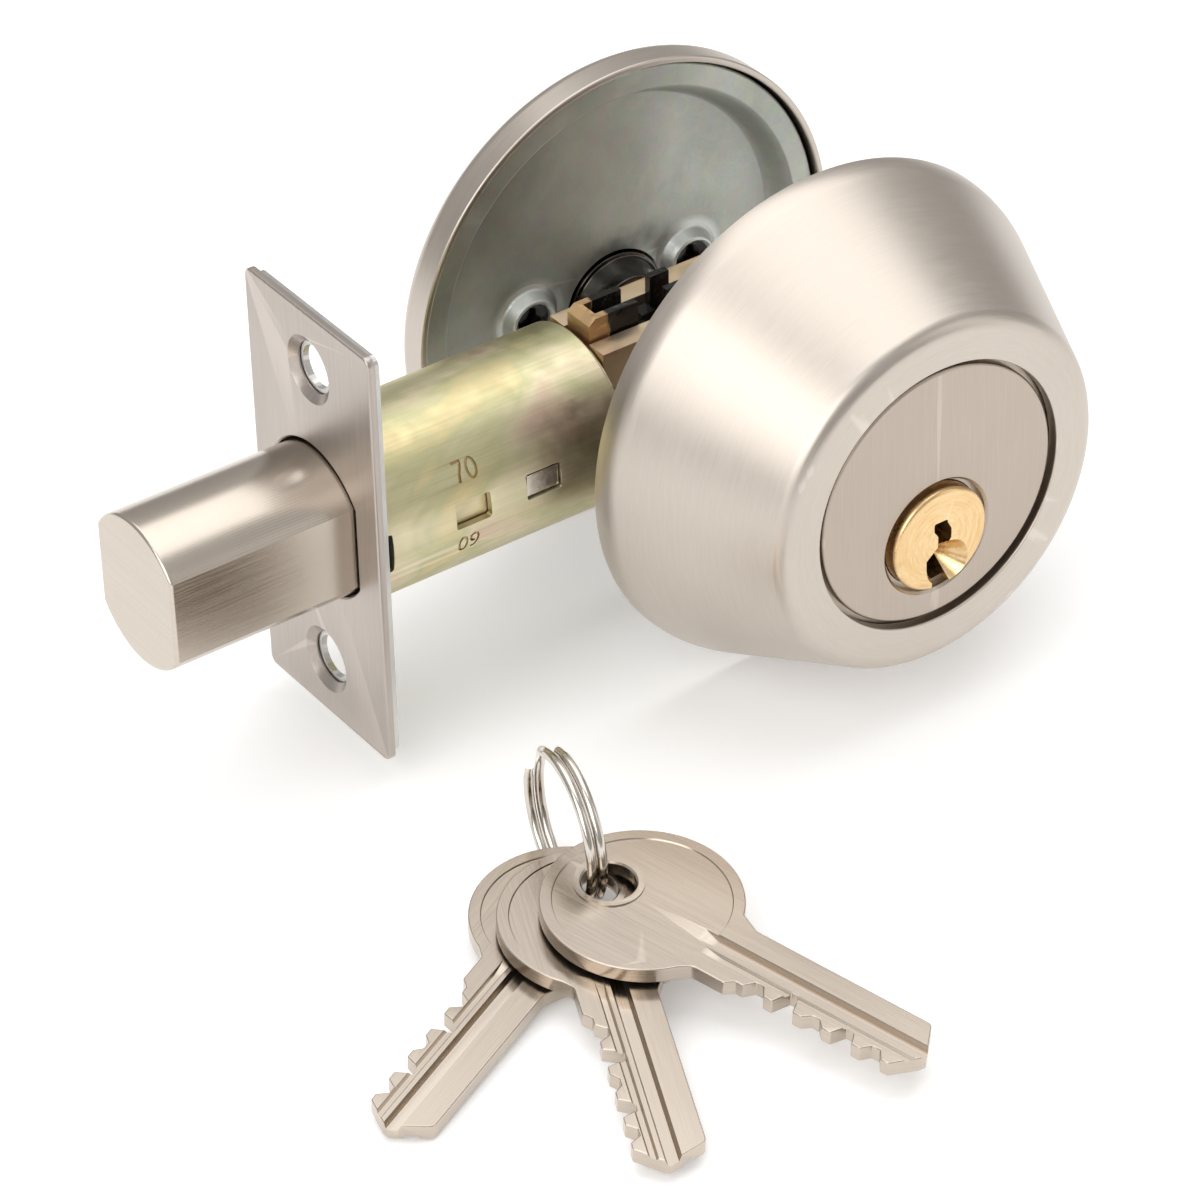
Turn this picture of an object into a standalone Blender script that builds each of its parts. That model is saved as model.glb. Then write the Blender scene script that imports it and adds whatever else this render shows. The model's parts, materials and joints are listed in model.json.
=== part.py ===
"""Tubular deadbolt door lock with its key ring, as separate parts in their working places.

Lengths are millimetres in the constants and metres in the meshes.  Parts are drawn in the lock's
own coordinates: X runs along the bolt (the bolt leaves towards -X), Y runs through the door (the
key side is -Y, the turn knob side is +Y), Z is up, and the zero point is where the turning axis of
the cam crosses the vertical plane of the bolt, at the height of the bolt's own axis.  At the end the
whole set is moved so that the world origin is the middle of its footprint, on the floor.
"""
import math

import bmesh
import bpy
from mathutils import Matrix, Vector

MM = 0.001

# ---------------------------------------------------------------- driving dimensions
GAP = 0.3                # air between neighbours that touch on the real lock
RUN = 0.05               # radial running clearance
ROUND_STEPS = 48         # facets on the large turned parts
SMALL_STEPS = 16         # facets on pins and rivets
SKIN = 0.001             # keeps the faces of joined shapes out of one plane

BACKSET = 60.0           # faceplate front to the cam axis
HUB_Z = -5.0             # cam, plug and knob axis, below the bolt axis
FLOOR_Z = -31.75         # the surface under the collar and the rose

PLATE_W, PLATE_H, PLATE_T, PLATE_CORNER = 26.0, 57.15, 1.0, 1.2
BACK_PLATE_T = 0.8
SCREW_SPACING, SCREW_HEAD_R, SCREW_HOLE_R = 41.6, 4.25, 2.75

BOLT_R, BOLT_FLAT = 9.8, 8.1
BOLT_THROW = 25.0
BOLT_TAIL_X = -54.2
BOLT_SLOT = 0.35         # air round the bolt in the faceplate

TUBE_R, TUBE_WALL = 11.65, 0.9
TUBE_END_X = -23.0
SLEEVE_R, SLEEVE_WALL = 10.6, 0.55
WINDOW_W, WINDOW_H, WINDOW_Z = 5.0, 3.4, 1.2
WINDOW_X = (-45.5, -35.4)

CASE_INNER, CASE_WALL = 4.3, 1.2
CASE_TOP, CASE_BOTTOM = 10.6, -13.6
CASE_FRONT_X, CASE_REAR_X = -22.2, 19.0
CASE_SLOT = 2.6          # half width of the slot between the top flanges
CASE_RIVETS = ((-19.0, -8.6), (13.6, -9.6), (16.2, 1.0))

CAM_R, CAM_HALF, JOURNAL_R = 7.0, 4.0, 5.6
ARM_HALF_T, ARM_HALF_W = 1.05, 3.0
PIN_ARM_R = 17.68        # cam axis to the drive pin
DRIVE_PIN_R = 1.5
FORK_HALF = 2.25

COLLAR_Z, COLLAR_R, COLLAR_FRONT_R = 1.05, 32.8, 20.4
COLLAR_BACK_Y, COLLAR_FRONT_Y = -18.2, -42.2
COLLAR_BACK_FILLET, COLLAR_FRONT_FILLET, COLLAR_WALL = 8.7, 2.5, 1.6
FACE_OPENING_R, FACE_R = 17.8, 17.1
FACE_Y = -41.7

PLUG_R, PLUG_HOLE_R = 6.9, 7.0
PLUG_FRONT_Y, PLUG_BACK_Y = -42.6, -20.4
PLUG_MOUTH_R = 7.55
PIN_ROWS = tuple(-37.0 + 3.6 * k for k in range(5))
PIN_R, CHAMBER_R = 1.3, 1.37
KEY_PIN_LENGTHS = (5.2, 6.1, 4.6, 5.6, 5.0)
DRIVER_LENGTH = 4.2

ROSE_X, ROSE_Z, ROSE_R = -0.9, -0.35, 31.4
ROSE_RIM_Y, ROSE_BACK_Y, ROSE_WALL = 19.0, 25.6, 0.9
DISH_RING_Y, DISH_Y, DISH_T = 19.9, 23.4, 1.0
DISH_R, DISH_SHOULDER_OUT, DISH_SHOULDER_IN = 30.1, 27.2, 25.0
BOSS_X, BOSS_Z, BOSS_OUT_R, BOSS_IN_R, BOSS_RISE = 12.3, -2.3, 4.2, 2.6, 2.0
BOSS_CENTRE_X = -1.2

KNOB_BASE_R, KNOB_BASE_Y = 11.5, 27.0
KNOB_LENGTH, KNOB_THICK, KNOB_END_Y = 26.0, 8.0, 43.5
HUB_FRONT_Y, HUB_FRONT_R, HUB_FLANGE_R, HUB_HOLE_R = 19.4, 5.4, 7.0, 7.3
BLADE_W, BLADE_T = 6.4, 2.2

KEY_T, BOW_R, KEY_HOLE_R = 2.0, 11.8, 3.2
KEY_HOLE_BACK = 4.8      # bow centre to hole centre, away from the blade
KEY_REACH = 39.8         # bow centre to tip
BLADE_STRAIGHT, BLADE_CUT = 3.9, -4.3
KEY_TILT = math.radians(4.0)
RING_R, RING_WIRE = 9.2, 0.6
RING_HEADING = math.radians(-101.6)
RING_CENTRE = (-55.0, -42.4)
RING_CROSSING = math.radians(135)    # where the wire changes side, from the key side over the top
# hole centre x, y, height of the underside over the floor, heading of the blade
KEYS = {
    "key_1": (-55.9, -52.1, 6.5, math.radians(-73.4)),
    "key_2": (-56.6, -49.4, 4.15, math.radians(-113.6)),
    "key_3": (-55.2, -47.5, 1.8, math.radians(-154.9)),
}

# ---------------------------------------------------------------- materials: colour, roughness, metallic
SATIN = ((0.62, 0.57, 0.52), 0.34, 1.0)
FACE = ((0.53, 0.46, 0.39), 0.38, 1.0)
PLATE = ((0.52, 0.46, 0.41), 0.36, 1.0)
BOLT = ((0.66, 0.61, 0.55), 0.24, 1.0)
BRASS = ((0.76, 0.50, 0.21), 0.25, 1.0)
ZINC_YELLOW = ((0.66, 0.58, 0.34), 0.32, 1.0)
GALVANISED = ((0.38, 0.39, 0.34), 0.45, 1.0)
BLACK_STEEL = ((0.02, 0.018, 0.016), 0.3, 0.7)
BLACK_CHROME = ((0.08, 0.075, 0.07), 0.15, 1.0)
STEEL = ((0.5, 0.5, 0.5), 0.35, 1.0)
KEY_NICKEL = ((0.6, 0.54, 0.46), 0.27, 1.0)
NYLON = ((0.8, 0.78, 0.72), 0.5, 0.0)


# ---------------------------------------------------------------- mesh helpers
PLANES = {
    "xy": lambda u, v, w: (u, v, w),
    "xz": lambda u, v, w: (u, w, v),
    "yz": lambda u, v, w: (w, u, v),
}


def make_material(name, look):
    colour, roughness, metallic = look
    material = bpy.data.materials.new(name)
    material.use_nodes = True
    shader = material.node_tree.nodes["Principled BSDF"]
    shader.inputs["Base Color"].default_value = (*colour, 1.0)
    shader.inputs["Roughness"].default_value = roughness
    shader.inputs["Metallic"].default_value = metallic
    return material


def arc(centre, radius, start, end, count):
    """Points on an arc, angles in degrees, both ends included."""
    angles = [math.radians(start + (end - start) * k / (count - 1)) for k in range(count)]
    return [(centre[0] + radius * math.cos(a), centre[1] + radius * math.sin(a)) for a in angles]


def circle(radius, count, centre=(0.0, 0.0)):
    return arc(centre, radius, 0, 360 * (count - 1) / count, count)


def rectangle(left, right, bottom, top, corner=0.0):
    if corner == 0.0:
        return [(left, bottom), (right, bottom), (right, top), (left, top)]
    corners = ((right - corner, top - corner, 0), (left + corner, top - corner, 90),
               (left + corner, bottom + corner, 180), (right - corner, bottom + corner, 270))
    return [p for x, z, a in corners for p in arc((x, z), corner, a, a + 90, 5)]


def double_d(radius, flat, count):
    """A circle with flat sides at +flat and -flat along the first axis."""
    half = math.degrees(math.acos(flat / radius))
    top = arc((0, 0), radius, half, 180 - half, count)
    bottom = arc((0, 0), radius, 180 + half, 360 - half, count)
    return top + bottom


def prism(outline, low, high, plane):
    """Closed bar of a flat outline, from low to high along the plane's normal."""
    place = PLANES[plane]
    bm = bmesh.new()
    ends = []
    for level in (low, high):
        ends.append([bm.verts.new([c * MM for c in place(u, v, level)]) for u, v in outline])
    count = len(outline)
    for k in range(count):
        n = (k + 1) % count
        bm.faces.new((ends[0][k], ends[0][n], ends[1][n], ends[1][k]))
    bm.faces.new(ends[0])
    bm.faces.new(ends[1])
    return bm


def turned(profile, steps, centre=(0.0, 0.0), axis="y", closed=False, phase=0.0):
    """Turned solid: profile points are (radius, place along the axis); radius 0 is a pole.

    phase turns the facets by that part of a step, so that corners of two shapes don't meet.
    """
    place = PLANES[{"y": "xz", "z": "xy", "x": "yz"}[axis]]
    bm = bmesh.new()
    rings = []
    for radius, along in profile:
        count = 1 if radius == 0 else steps
        ring = []
        for k in range(count):
            a = 2 * math.pi * (k + phase) / steps
            u = centre[0] + radius * math.cos(a)
            v = centre[1] + radius * math.sin(a)
            ring.append(bm.verts.new([c * MM for c in place(u, v, along)]))
        rings.append(ring)
    pairs = list(zip(rings, rings[1:]))
    if closed:
        pairs.append((rings[-1], rings[0]))
    for one, two in pairs:
        for k in range(steps):
            n = (k + 1) % steps
            corners = [one[k % len(one)], one[n % len(one)], two[n % len(two)], two[k % len(two)]]
            unique = list(dict.fromkeys(corners))
            if len(unique) > 2:
                bm.faces.new(unique)
    return bm


def swept(points, radius, sides, closed=False):
    """Round wire along a list of points, with flat ends unless it is closed."""
    bm = bmesh.new()
    count = len(points)
    rings = []
    for k, point in enumerate(points):
        before = points[k - 1] if k or closed else point
        after = points[(k + 1) % count] if k < count - 1 or closed else point
        tangent = (after - before).normalized()
        reference = Vector((0.0, 0.0, 1.0)) if abs(tangent.z) < 0.9 else Vector((1.0, 0.0, 0.0))
        if k:
            reference = last_side
        side = (reference - tangent * reference.dot(tangent)).normalized()
        last_side = side
        other = tangent.cross(side)
        ring = []
        for s in range(sides):
            a = 2 * math.pi * s / sides
            offset = side * (radius * math.cos(a)) + other * (radius * math.sin(a))
            ring.append(bm.verts.new((point + offset) * MM))
        rings.append(ring)
    for one, two in zip(rings, rings[1:]):
        for s in range(sides):
            n = (s + 1) % sides
            bm.faces.new((one[s], one[n], two[n], two[s]))
    bm.faces.new(rings[0])
    bm.faces.new(rings[-1])
    return bm


LOCK_FRAME = None        # parent empty of everything, set in main
AXES = {}                # name: parent empty on a joint's axis, set in main


def make_object(name, bm, look, parent=None):
    """Turn a mesh into a named part under the lock's frame, or under a joint's empty."""
    bmesh.ops.recalc_face_normals(bm, faces=bm.faces)
    anchor = AXES[parent] if parent else LOCK_FRAME
    if parent:
        bm.transform(Matrix.Translation(-anchor.location))
    mesh = bpy.data.meshes.new(name)
    bm.to_mesh(mesh)
    bm.free()
    mesh.shade_smooth()
    mesh.set_sharp_from_angle(angle=math.radians(35))
    part = bpy.data.objects.new(name, mesh)
    part.data.materials.append(make_material(name, look))
    bpy.context.scene.collection.objects.link(part)
    part.parent = anchor
    return part


def combine(part, bm, operation, parent=None, solver="EXACT"):
    """Add or cut away a second shape with a Boolean modifier and a hidden wire guide."""
    anchor = AXES[parent] if parent else LOCK_FRAME
    if parent:
        bm.transform(Matrix.Translation(-anchor.location))
    combine_under(part, bm, operation, anchor, solver)


def combine_under(part, bm, operation, anchor, solver):
    """The same, for a shape already drawn in the coordinates of the anchor it hangs under."""
    index = len(part.modifiers) + 1
    bmesh.ops.recalc_face_normals(bm, faces=bm.faces)
    mesh = bpy.data.meshes.new(f"{part.name}_guide_{index}")
    bm.to_mesh(mesh)
    bm.free()
    guide = bpy.data.objects.new(mesh.name, mesh)
    guide.hide_render = True
    guide.display_type = "WIRE"
    bpy.context.scene.collection.objects.link(guide)
    guide.parent = anchor
    modifier = part.modifiers.new(f"{operation.lower()}_{index}", "BOOLEAN")
    modifier.operation = operation
    modifier.solver = solver
    modifier.object = guide


def cut(part, bm, parent=None, solver="EXACT"):
    combine(part, bm, "DIFFERENCE", parent, solver)


def join(part, bm, parent=None, solver="EXACT"):
    combine(part, bm, "UNION", parent, solver)


def make_axis(name, location):
    empty = bpy.data.objects.new(name, None)
    empty.empty_display_size = 0.01
    bpy.context.scene.collection.objects.link(empty)
    empty.parent = LOCK_FRAME
    empty.location = Vector(location) * MM
    AXES[name] = empty
    return empty


# ---------------------------------------------------------------- outside trim and cylinder
def collar_outline(inset):
    """Outer line of the collar from the door rim to the face opening, moved in by inset."""
    run = COLLAR_BACK_Y - COLLAR_FRONT_Y
    slope = math.atan2(COLLAR_R - COLLAR_FRONT_R - 2.0, run)
    turn = math.pi / 2 - slope
    back = COLLAR_BACK_FILLET - inset
    front = max(COLLAR_FRONT_FILLET - inset, 0.6)
    centre_r = COLLAR_R - COLLAR_BACK_FILLET
    points = []
    for k in range(7):
        a = (math.pi / 2 - turn) * k / 6
        points.append((centre_r + back * math.cos(a), COLLAR_BACK_Y - back * math.sin(a)))
    front_y = COLLAR_FRONT_Y + inset + front
    line_r, line_y = points[-1]
    for k in range(5):
        a = slope + turn * k / 4
        y = front_y - front * math.sin(a)
        if k == 0:
            edge_r = line_r - (line_y - y) * math.tan(slope)
            centre_front = edge_r - front * math.cos(slope)
        points.append((centre_front + front * math.cos(a), y))
    return points


def build_collar():
    outer = collar_outline(0.0)
    inner = collar_outline(COLLAR_WALL)
    profile = outer + [(FACE_OPENING_R, COLLAR_FRONT_Y), (FACE_OPENING_R, COLLAR_FRONT_Y + COLLAR_WALL)]
    profile += [p for p in reversed(inner[:-1]) if p[0] > FACE_OPENING_R + 0.3]
    bm = turned(profile, ROUND_STEPS, (0, COLLAR_Z), closed=True)
    make_object("outer_collar", bm, SATIN)


def build_housing():
    flange_y = COLLAR_FRONT_Y + COLLAR_WALL + GAP
    profile = [(0, FACE_Y), (FACE_R - 0.4, FACE_Y), (FACE_R, FACE_Y + 0.4), (FACE_R, flange_y),
               (FACE_R + 1.5, flange_y), (FACE_R + 1.5, flange_y + 1.8), (15.9, flange_y + 1.8),
               (15.9, PLUG_BACK_Y), (0, PLUG_BACK_Y)]
    housing = make_object("cylinder_housing", turned(profile, 48, (0, COLLAR_Z)), FACE)
    axis = (0, HUB_Z)
    cut(housing, turned([(0, FACE_Y - 1), (PLUG_HOLE_R, FACE_Y - 1), (PLUG_HOLE_R, PLUG_BACK_Y + 1),
                         (0, PLUG_BACK_Y + 1)], 40, axis))
    cut(housing, turned([(0, FACE_Y - 1), (PLUG_MOUTH_R, FACE_Y - 1), (PLUG_MOUTH_R, FACE_Y + 1.2),
                         (0, FACE_Y + 1.2)], 40, axis))
    for y in PIN_ROWS:
        cut(housing, turned([(0, HUB_Z + 4), (CHAMBER_R, HUB_Z + 4), (CHAMBER_R, 20), (0, 20)],
                            SMALL_STEPS, (0, y), "z", phase=0.5), solver="MANIFOLD")
    cut(housing, prism(rectangle(-2.3, 2.3, PIN_ROWS[0] - 2.0, PLUG_BACK_Y - 0.2), 15.6, 20, "xy"),
        solver="MANIFOLD")
    cover = rectangle(-2.0, 2.0, PIN_ROWS[0] - 1.7, PLUG_BACK_Y - 0.5)
    make_object("pin_cover", prism(cover, 15.65, 16.6, "xy"), BRASS)


def keyway_outline(top):
    """Zigzag key slot across the plug, open at the bottom; x and z from the plug axis."""
    left = [(-0.9, -9.0), (-0.9, -4.6), (-2.1, -3.4), (-2.1, -2.2), (-0.4, -0.9), (-0.4, 0.4),
            (-1.2, 1.2), (-1.2, top)]
    right = [(1.0, top), (1.0, 1.9), (1.8, 1.0), (1.8, -0.3), (0.5, -1.6), (0.5, -2.8),
             (1.5, -3.9), (1.5, -9.0)]
    return [(x, z + HUB_Z) for x, z in left + right]


def build_plug():
    profile = [(0, PLUG_FRONT_Y), (PLUG_R - 0.7, PLUG_FRONT_Y), (PLUG_R - 0.15, PLUG_FRONT_Y + 0.3),
               (PLUG_R, PLUG_FRONT_Y + 0.8), (PLUG_R, PLUG_BACK_Y + 0.4), (6.2, PLUG_BACK_Y + 0.4),
               (6.2, PLUG_BACK_Y + 1.6), (0, PLUG_BACK_Y + 1.6)]
    plug = make_object("key_plug", turned(profile, 40, (0, HUB_Z)), BRASS, "plug_axis")
    cut(plug, prism(keyway_outline(2.6), PLUG_FRONT_Y - 1, PLUG_BACK_Y - 1.6, "xz"), "plug_axis")
    mouth = [(0, PLUG_FRONT_Y - 0.5), (4.2, PLUG_FRONT_Y - 0.5), (3.9, PLUG_FRONT_Y),
             (0.6, PLUG_FRONT_Y + 3.2), (0, PLUG_FRONT_Y + 3.2)]
    cut(plug, turned(mouth, 20, (0.4, HUB_Z - 3.6)), "plug_axis")
    for y in PIN_ROWS:
        cut(plug, turned([(0, HUB_Z + 0.5), (CHAMBER_R, HUB_Z + 0.5), (CHAMBER_R, HUB_Z + 9),
                          (0, HUB_Z + 9)], SMALL_STEPS, (0, y), "z", phase=0.5), "plug_axis")


def build_pins():
    shear = HUB_Z + PLUG_R
    for number, (y, length) in enumerate(zip(PIN_ROWS, KEY_PIN_LENGTHS), start=1):
        top = shear - 0.35
        low = top - length
        key_pin = [(0, low), (0.5, low), (PIN_R, low + 0.9), (PIN_R, top - 0.2), (PIN_R - 0.3, top),
                   (0, top)]
        make_object(f"key_pin_{number}", turned(key_pin, 12, (0, y), "z"), BRASS, "plug_axis")
        base = shear + 0.35
        end = base + DRIVER_LENGTH
        driver = [(0, base), (PIN_R - 0.3, base), (PIN_R, base + 0.2), (PIN_R, end), (0, end)]
        make_object(f"driver_pin_{number}", turned(driver, 12, (0, y), "z"), STEEL)
        make_object(f"pin_spring_{number}", spring(y, end + GAP, 15.3), STEEL)


def spring(y, low, high):
    """Closed-end helix of round wire standing on a driver pin."""
    turns, per_turn, wire, radius = 4, 8, 0.2, 0.95
    count = turns * per_turn + 1
    points = []
    for k in range(count):
        a = 2 * math.pi * k / per_turn
        z = low + wire + (high - low - 2 * wire) * k / (count - 1)
        points.append(Vector((radius * math.cos(a), y + radius * math.sin(a), z)))
    return swept(points, wire, 4)


def build_plug_back():
    clip_y = PLUG_BACK_Y + 0.45
    clip = arc((0, HUB_Z), 8.3, -50, 230, 20) + arc((0, HUB_Z), 6.35, 230, -50, 20)
    make_object("plug_clip", prism(clip, clip_y, clip_y + 0.8, "xz"), STEEL, "plug_axis")
    drive = turned([(0, PLUG_BACK_Y + 1.9), (6.0, PLUG_BACK_Y + 1.9), (6.0, PLUG_BACK_Y + 3.6),
                    (0, PLUG_BACK_Y + 3.6)], 32, (0, HUB_Z))
    tail_cam = make_object("tail_cam", drive, STEEL, "plug_axis")
    # the bow-tie opening lets the tail turn a quarter turn one way while the plug stands still
    reach = BLADE_W / 2 + 0.3
    bow_tie = (arc((0, HUB_Z), reach, -30, 120, 10) + [(-1.2, HUB_Z + 1.2)]
               + arc((0, HUB_Z), reach, 150, 300, 10) + [(1.2, HUB_Z - 1.2)])
    cut(tail_cam, prism(bow_tie, PLUG_BACK_Y + 1, PLUG_BACK_Y + 5, "xz"), "plug_axis")


# ---------------------------------------------------------------- latch
def bolt_section(margin, count):
    return double_d(BOLT_R + margin, BOLT_FLAT + margin, count)


def build_faceplates():
    front = -BACKSET
    outline = rectangle(-PLATE_W / 2, PLATE_W / 2, -PLATE_H / 2, PLATE_H / 2, PLATE_CORNER)
    plate = make_object("faceplate", prism(outline, front, front + PLATE_T, "yz"), PLATE)
    low, high = front + PLATE_T + 0.1, front + PLATE_T + 0.1 + BACK_PLATE_T
    inner = rectangle(-PLATE_W / 2 + 0.6, PLATE_W / 2 - 0.6, -PLATE_H / 2 + 0.6, PLATE_H / 2 - 0.6,
                      PLATE_CORNER)
    backing = make_object("backing_plate", prism(inner, low, high, "yz"), STEEL)
    hole = bolt_section(BOLT_SLOT, 14)
    cut(plate, prism(hole, front - 1, front + 3, "yz"))
    cut(backing, prism(hole, front - 1, front + 3, "yz"))
    for side in (-1, 1):
        centre = (0, side * SCREW_SPACING / 2)
        sink = [(0, front - 0.5), (SCREW_HEAD_R + 0.5, front - 0.5), (SCREW_HEAD_R, front),
                (SCREW_HOLE_R + 0.5, front + PLATE_T + 0.3), (0, front + PLATE_T + 0.3)]
        cut(plate, turned(sink, 28, centre, "x"))
        drill = [(0, front - 1), (SCREW_HOLE_R, front - 1), (SCREW_HOLE_R, front + 3), (0, front + 3)]
        cut(backing, turned(drill, 28, centre, "x"))


def window(centre_x, low_y, high_y):
    return prism(rectangle(centre_x - WINDOW_W / 2, centre_x + WINDOW_W / 2, WINDOW_Z - WINDOW_H / 2,
                           WINDOW_Z + WINDOW_H / 2), low_y, high_y, "xz")


def build_tube():
    start = -BACKSET + PLATE_T + 0.1 + BACK_PLATE_T + 0.1
    inner = TUBE_R - TUBE_WALL
    profile = [(TUBE_R, start), (TUBE_R, TUBE_END_X), (inner, TUBE_END_X), (inner, start)]
    tube = make_object("latch_tube", turned(profile, 48, axis="x", closed=True), ZINC_YELLOW)
    for x in WINDOW_X:
        cut(tube, window(x, -13, 13))
    cut(tube, prism(rectangle(start - 1, start + 1.1, -2.6, 2.6), -13, -9, "xz"))
    sleeve_in = SLEEVE_R - SLEEVE_WALL
    profile = [(SLEEVE_R, -51.8), (SLEEVE_R, TUBE_END_X + 0.6), (sleeve_in, TUBE_END_X + 0.6),
               (sleeve_in, -51.8)]
    sleeve = make_object("inner_sleeve", turned(profile, 40, axis="x", closed=True), ZINC_YELLOW)
    cut(sleeve, window(WINDOW_X[1], -13, -8))
    leaf = prism(rectangle(WINDOW_X[1] - 8.0, WINDOW_X[1] + 2.1, WINDOW_Z - 1.7, WINDOW_Z + 1.7),
                 -9.25, -8.75, "xz")
    catch = make_object("backset_catch", leaf, BOLT)
    half = WINDOW_W / 2 - 0.25
    button = prism(rectangle(WINDOW_X[1] - half, WINDOW_X[1] + half, WINDOW_Z - 1.45, WINDOW_Z + 1.45),
                   -11.2, -9.0, "xz")
    join(catch, button)


def build_case():
    """Two riveted side plates that carry the cam, with top flanges either side of the slot."""
    outline = [(-28.0, -7.6), (CASE_FRONT_X, -7.6), (CASE_FRONT_X, CASE_BOTTOM + 2),
               (CASE_FRONT_X + 2, CASE_BOTTOM), (CASE_REAR_X - 3, CASE_BOTTOM),
               (CASE_REAR_X, CASE_BOTTOM + 3), (CASE_REAR_X, CASE_TOP), (CASE_FRONT_X, CASE_TOP),
               (CASE_FRONT_X, 8.0), (-28.0, 8.0)]
    outer = CASE_INNER + CASE_WALL
    for name, side in (("case_plate_near", -1), ("case_plate_far", 1)):
        low, high = sorted((side * CASE_INNER, side * outer))
        plate = make_object(name, prism(outline, low, high, "xz"), ZINC_YELLOW)
        low, high = sorted((side * CASE_SLOT, side * (outer - 0.2)))
        flange = rectangle(low, high, CASE_TOP - CASE_WALL, CASE_TOP + SKIN)
        join(plate, prism(flange, CASE_FRONT_X + SKIN, CASE_REAR_X - SKIN, "yz"))
        cut(plate, turned([(0, -9), (JOURNAL_R + 0.1, -9), (JOURNAL_R + 0.1, 9), (0, 9)], 28,
                          (0, HUB_Z)))
        for x, z in CASE_RIVETS:
            cut(plate, turned([(0, -9), (1.4, -9), (1.4, 9), (0, 9)], SMALL_STEPS, (x, z)))
    for number, (x, z) in enumerate(CASE_RIVETS, start=1):
        head, shank = outer + 0.8, 1.35
        spacer = CASE_INNER - 0.1
        profile = [(0, -head), (1.8, -head), (2.3, -outer - 0.1), (shank, -outer - 0.1), (shank, -spacer),
                   (2.0, -spacer), (2.0, spacer), (shank, spacer), (shank, outer + 0.1),
                   (2.3, outer + 0.1), (1.8, head), (0, head)]
        make_object(f"case_rivet_{number}", turned(profile, SMALL_STEPS, (x, z)), STEEL)
    leaf = rectangle(-14.0, 11.0, HUB_Z - CAM_R - 0.8, HUB_Z - CAM_R - 0.3)
    make_object("detent_spring", prism(leaf, -2.4, 2.4, "xz"), STEEL)


def build_cam():
    """Hub, arm and drive pin; the arm stands at 45 degrees towards the bolt when it is thrown."""
    hub = [(0, -CASE_INNER - CASE_WALL - 0.8), (JOURNAL_R, -CASE_INNER - CASE_WALL - 0.8),
           (JOURNAL_R, -CAM_HALF), (CAM_R, -CAM_HALF), (CAM_R, CAM_HALF), (JOURNAL_R, CAM_HALF),
           (JOURNAL_R, CASE_INNER + CASE_WALL + 0.8), (0, CASE_INNER + CASE_WALL + 0.8)]
    cam = make_object("cam_hub", turned(hub, 28, (0, HUB_Z)), BLACK_STEEL, "turn_axis")
    lean = math.radians(135)
    along = Vector((math.cos(lean), math.sin(lean)))
    across = Vector((-along.y, along.x))
    end = PIN_ARM_R
    outline = [Vector((0, HUB_Z)) + along * a + across * c for a, c in
               ((0, -ARM_HALF_W), (0, ARM_HALF_W), (end + 1.2, ARM_HALF_W), (end + 2.5, 1.6),
                (end + 2.5, -1.6), (end + 1.2, -ARM_HALF_W))]
    join(cam, prism([tuple(p) for p in outline], -ARM_HALF_T, ARM_HALF_T, "xz"), "turn_axis")
    pin = (along.x * PIN_ARM_R, HUB_Z + along.y * PIN_ARM_R)
    cut(cam, turned([(0, -3), (DRIVE_PIN_R + RUN, -3), (DRIVE_PIN_R + RUN, 3), (0, 3)], SMALL_STEPS,
                    pin), "turn_axis")
    slot = rectangle(-BLADE_T / 2 - 0.12, BLADE_T / 2 + 0.12, HUB_Z - BLADE_W / 2 - 0.12,
                     HUB_Z + BLADE_W / 2 + 0.12)
    cut(cam, prism(slot, -9, 9, "xz"), "turn_axis")
    half = FORK_HALF
    profile = [(0, -half), (DRIVE_PIN_R, -half), (DRIVE_PIN_R, half), (0, half)]
    make_object("drive_pin", turned(profile, SMALL_STEPS, pin), STEEL, "turn_axis")


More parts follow.
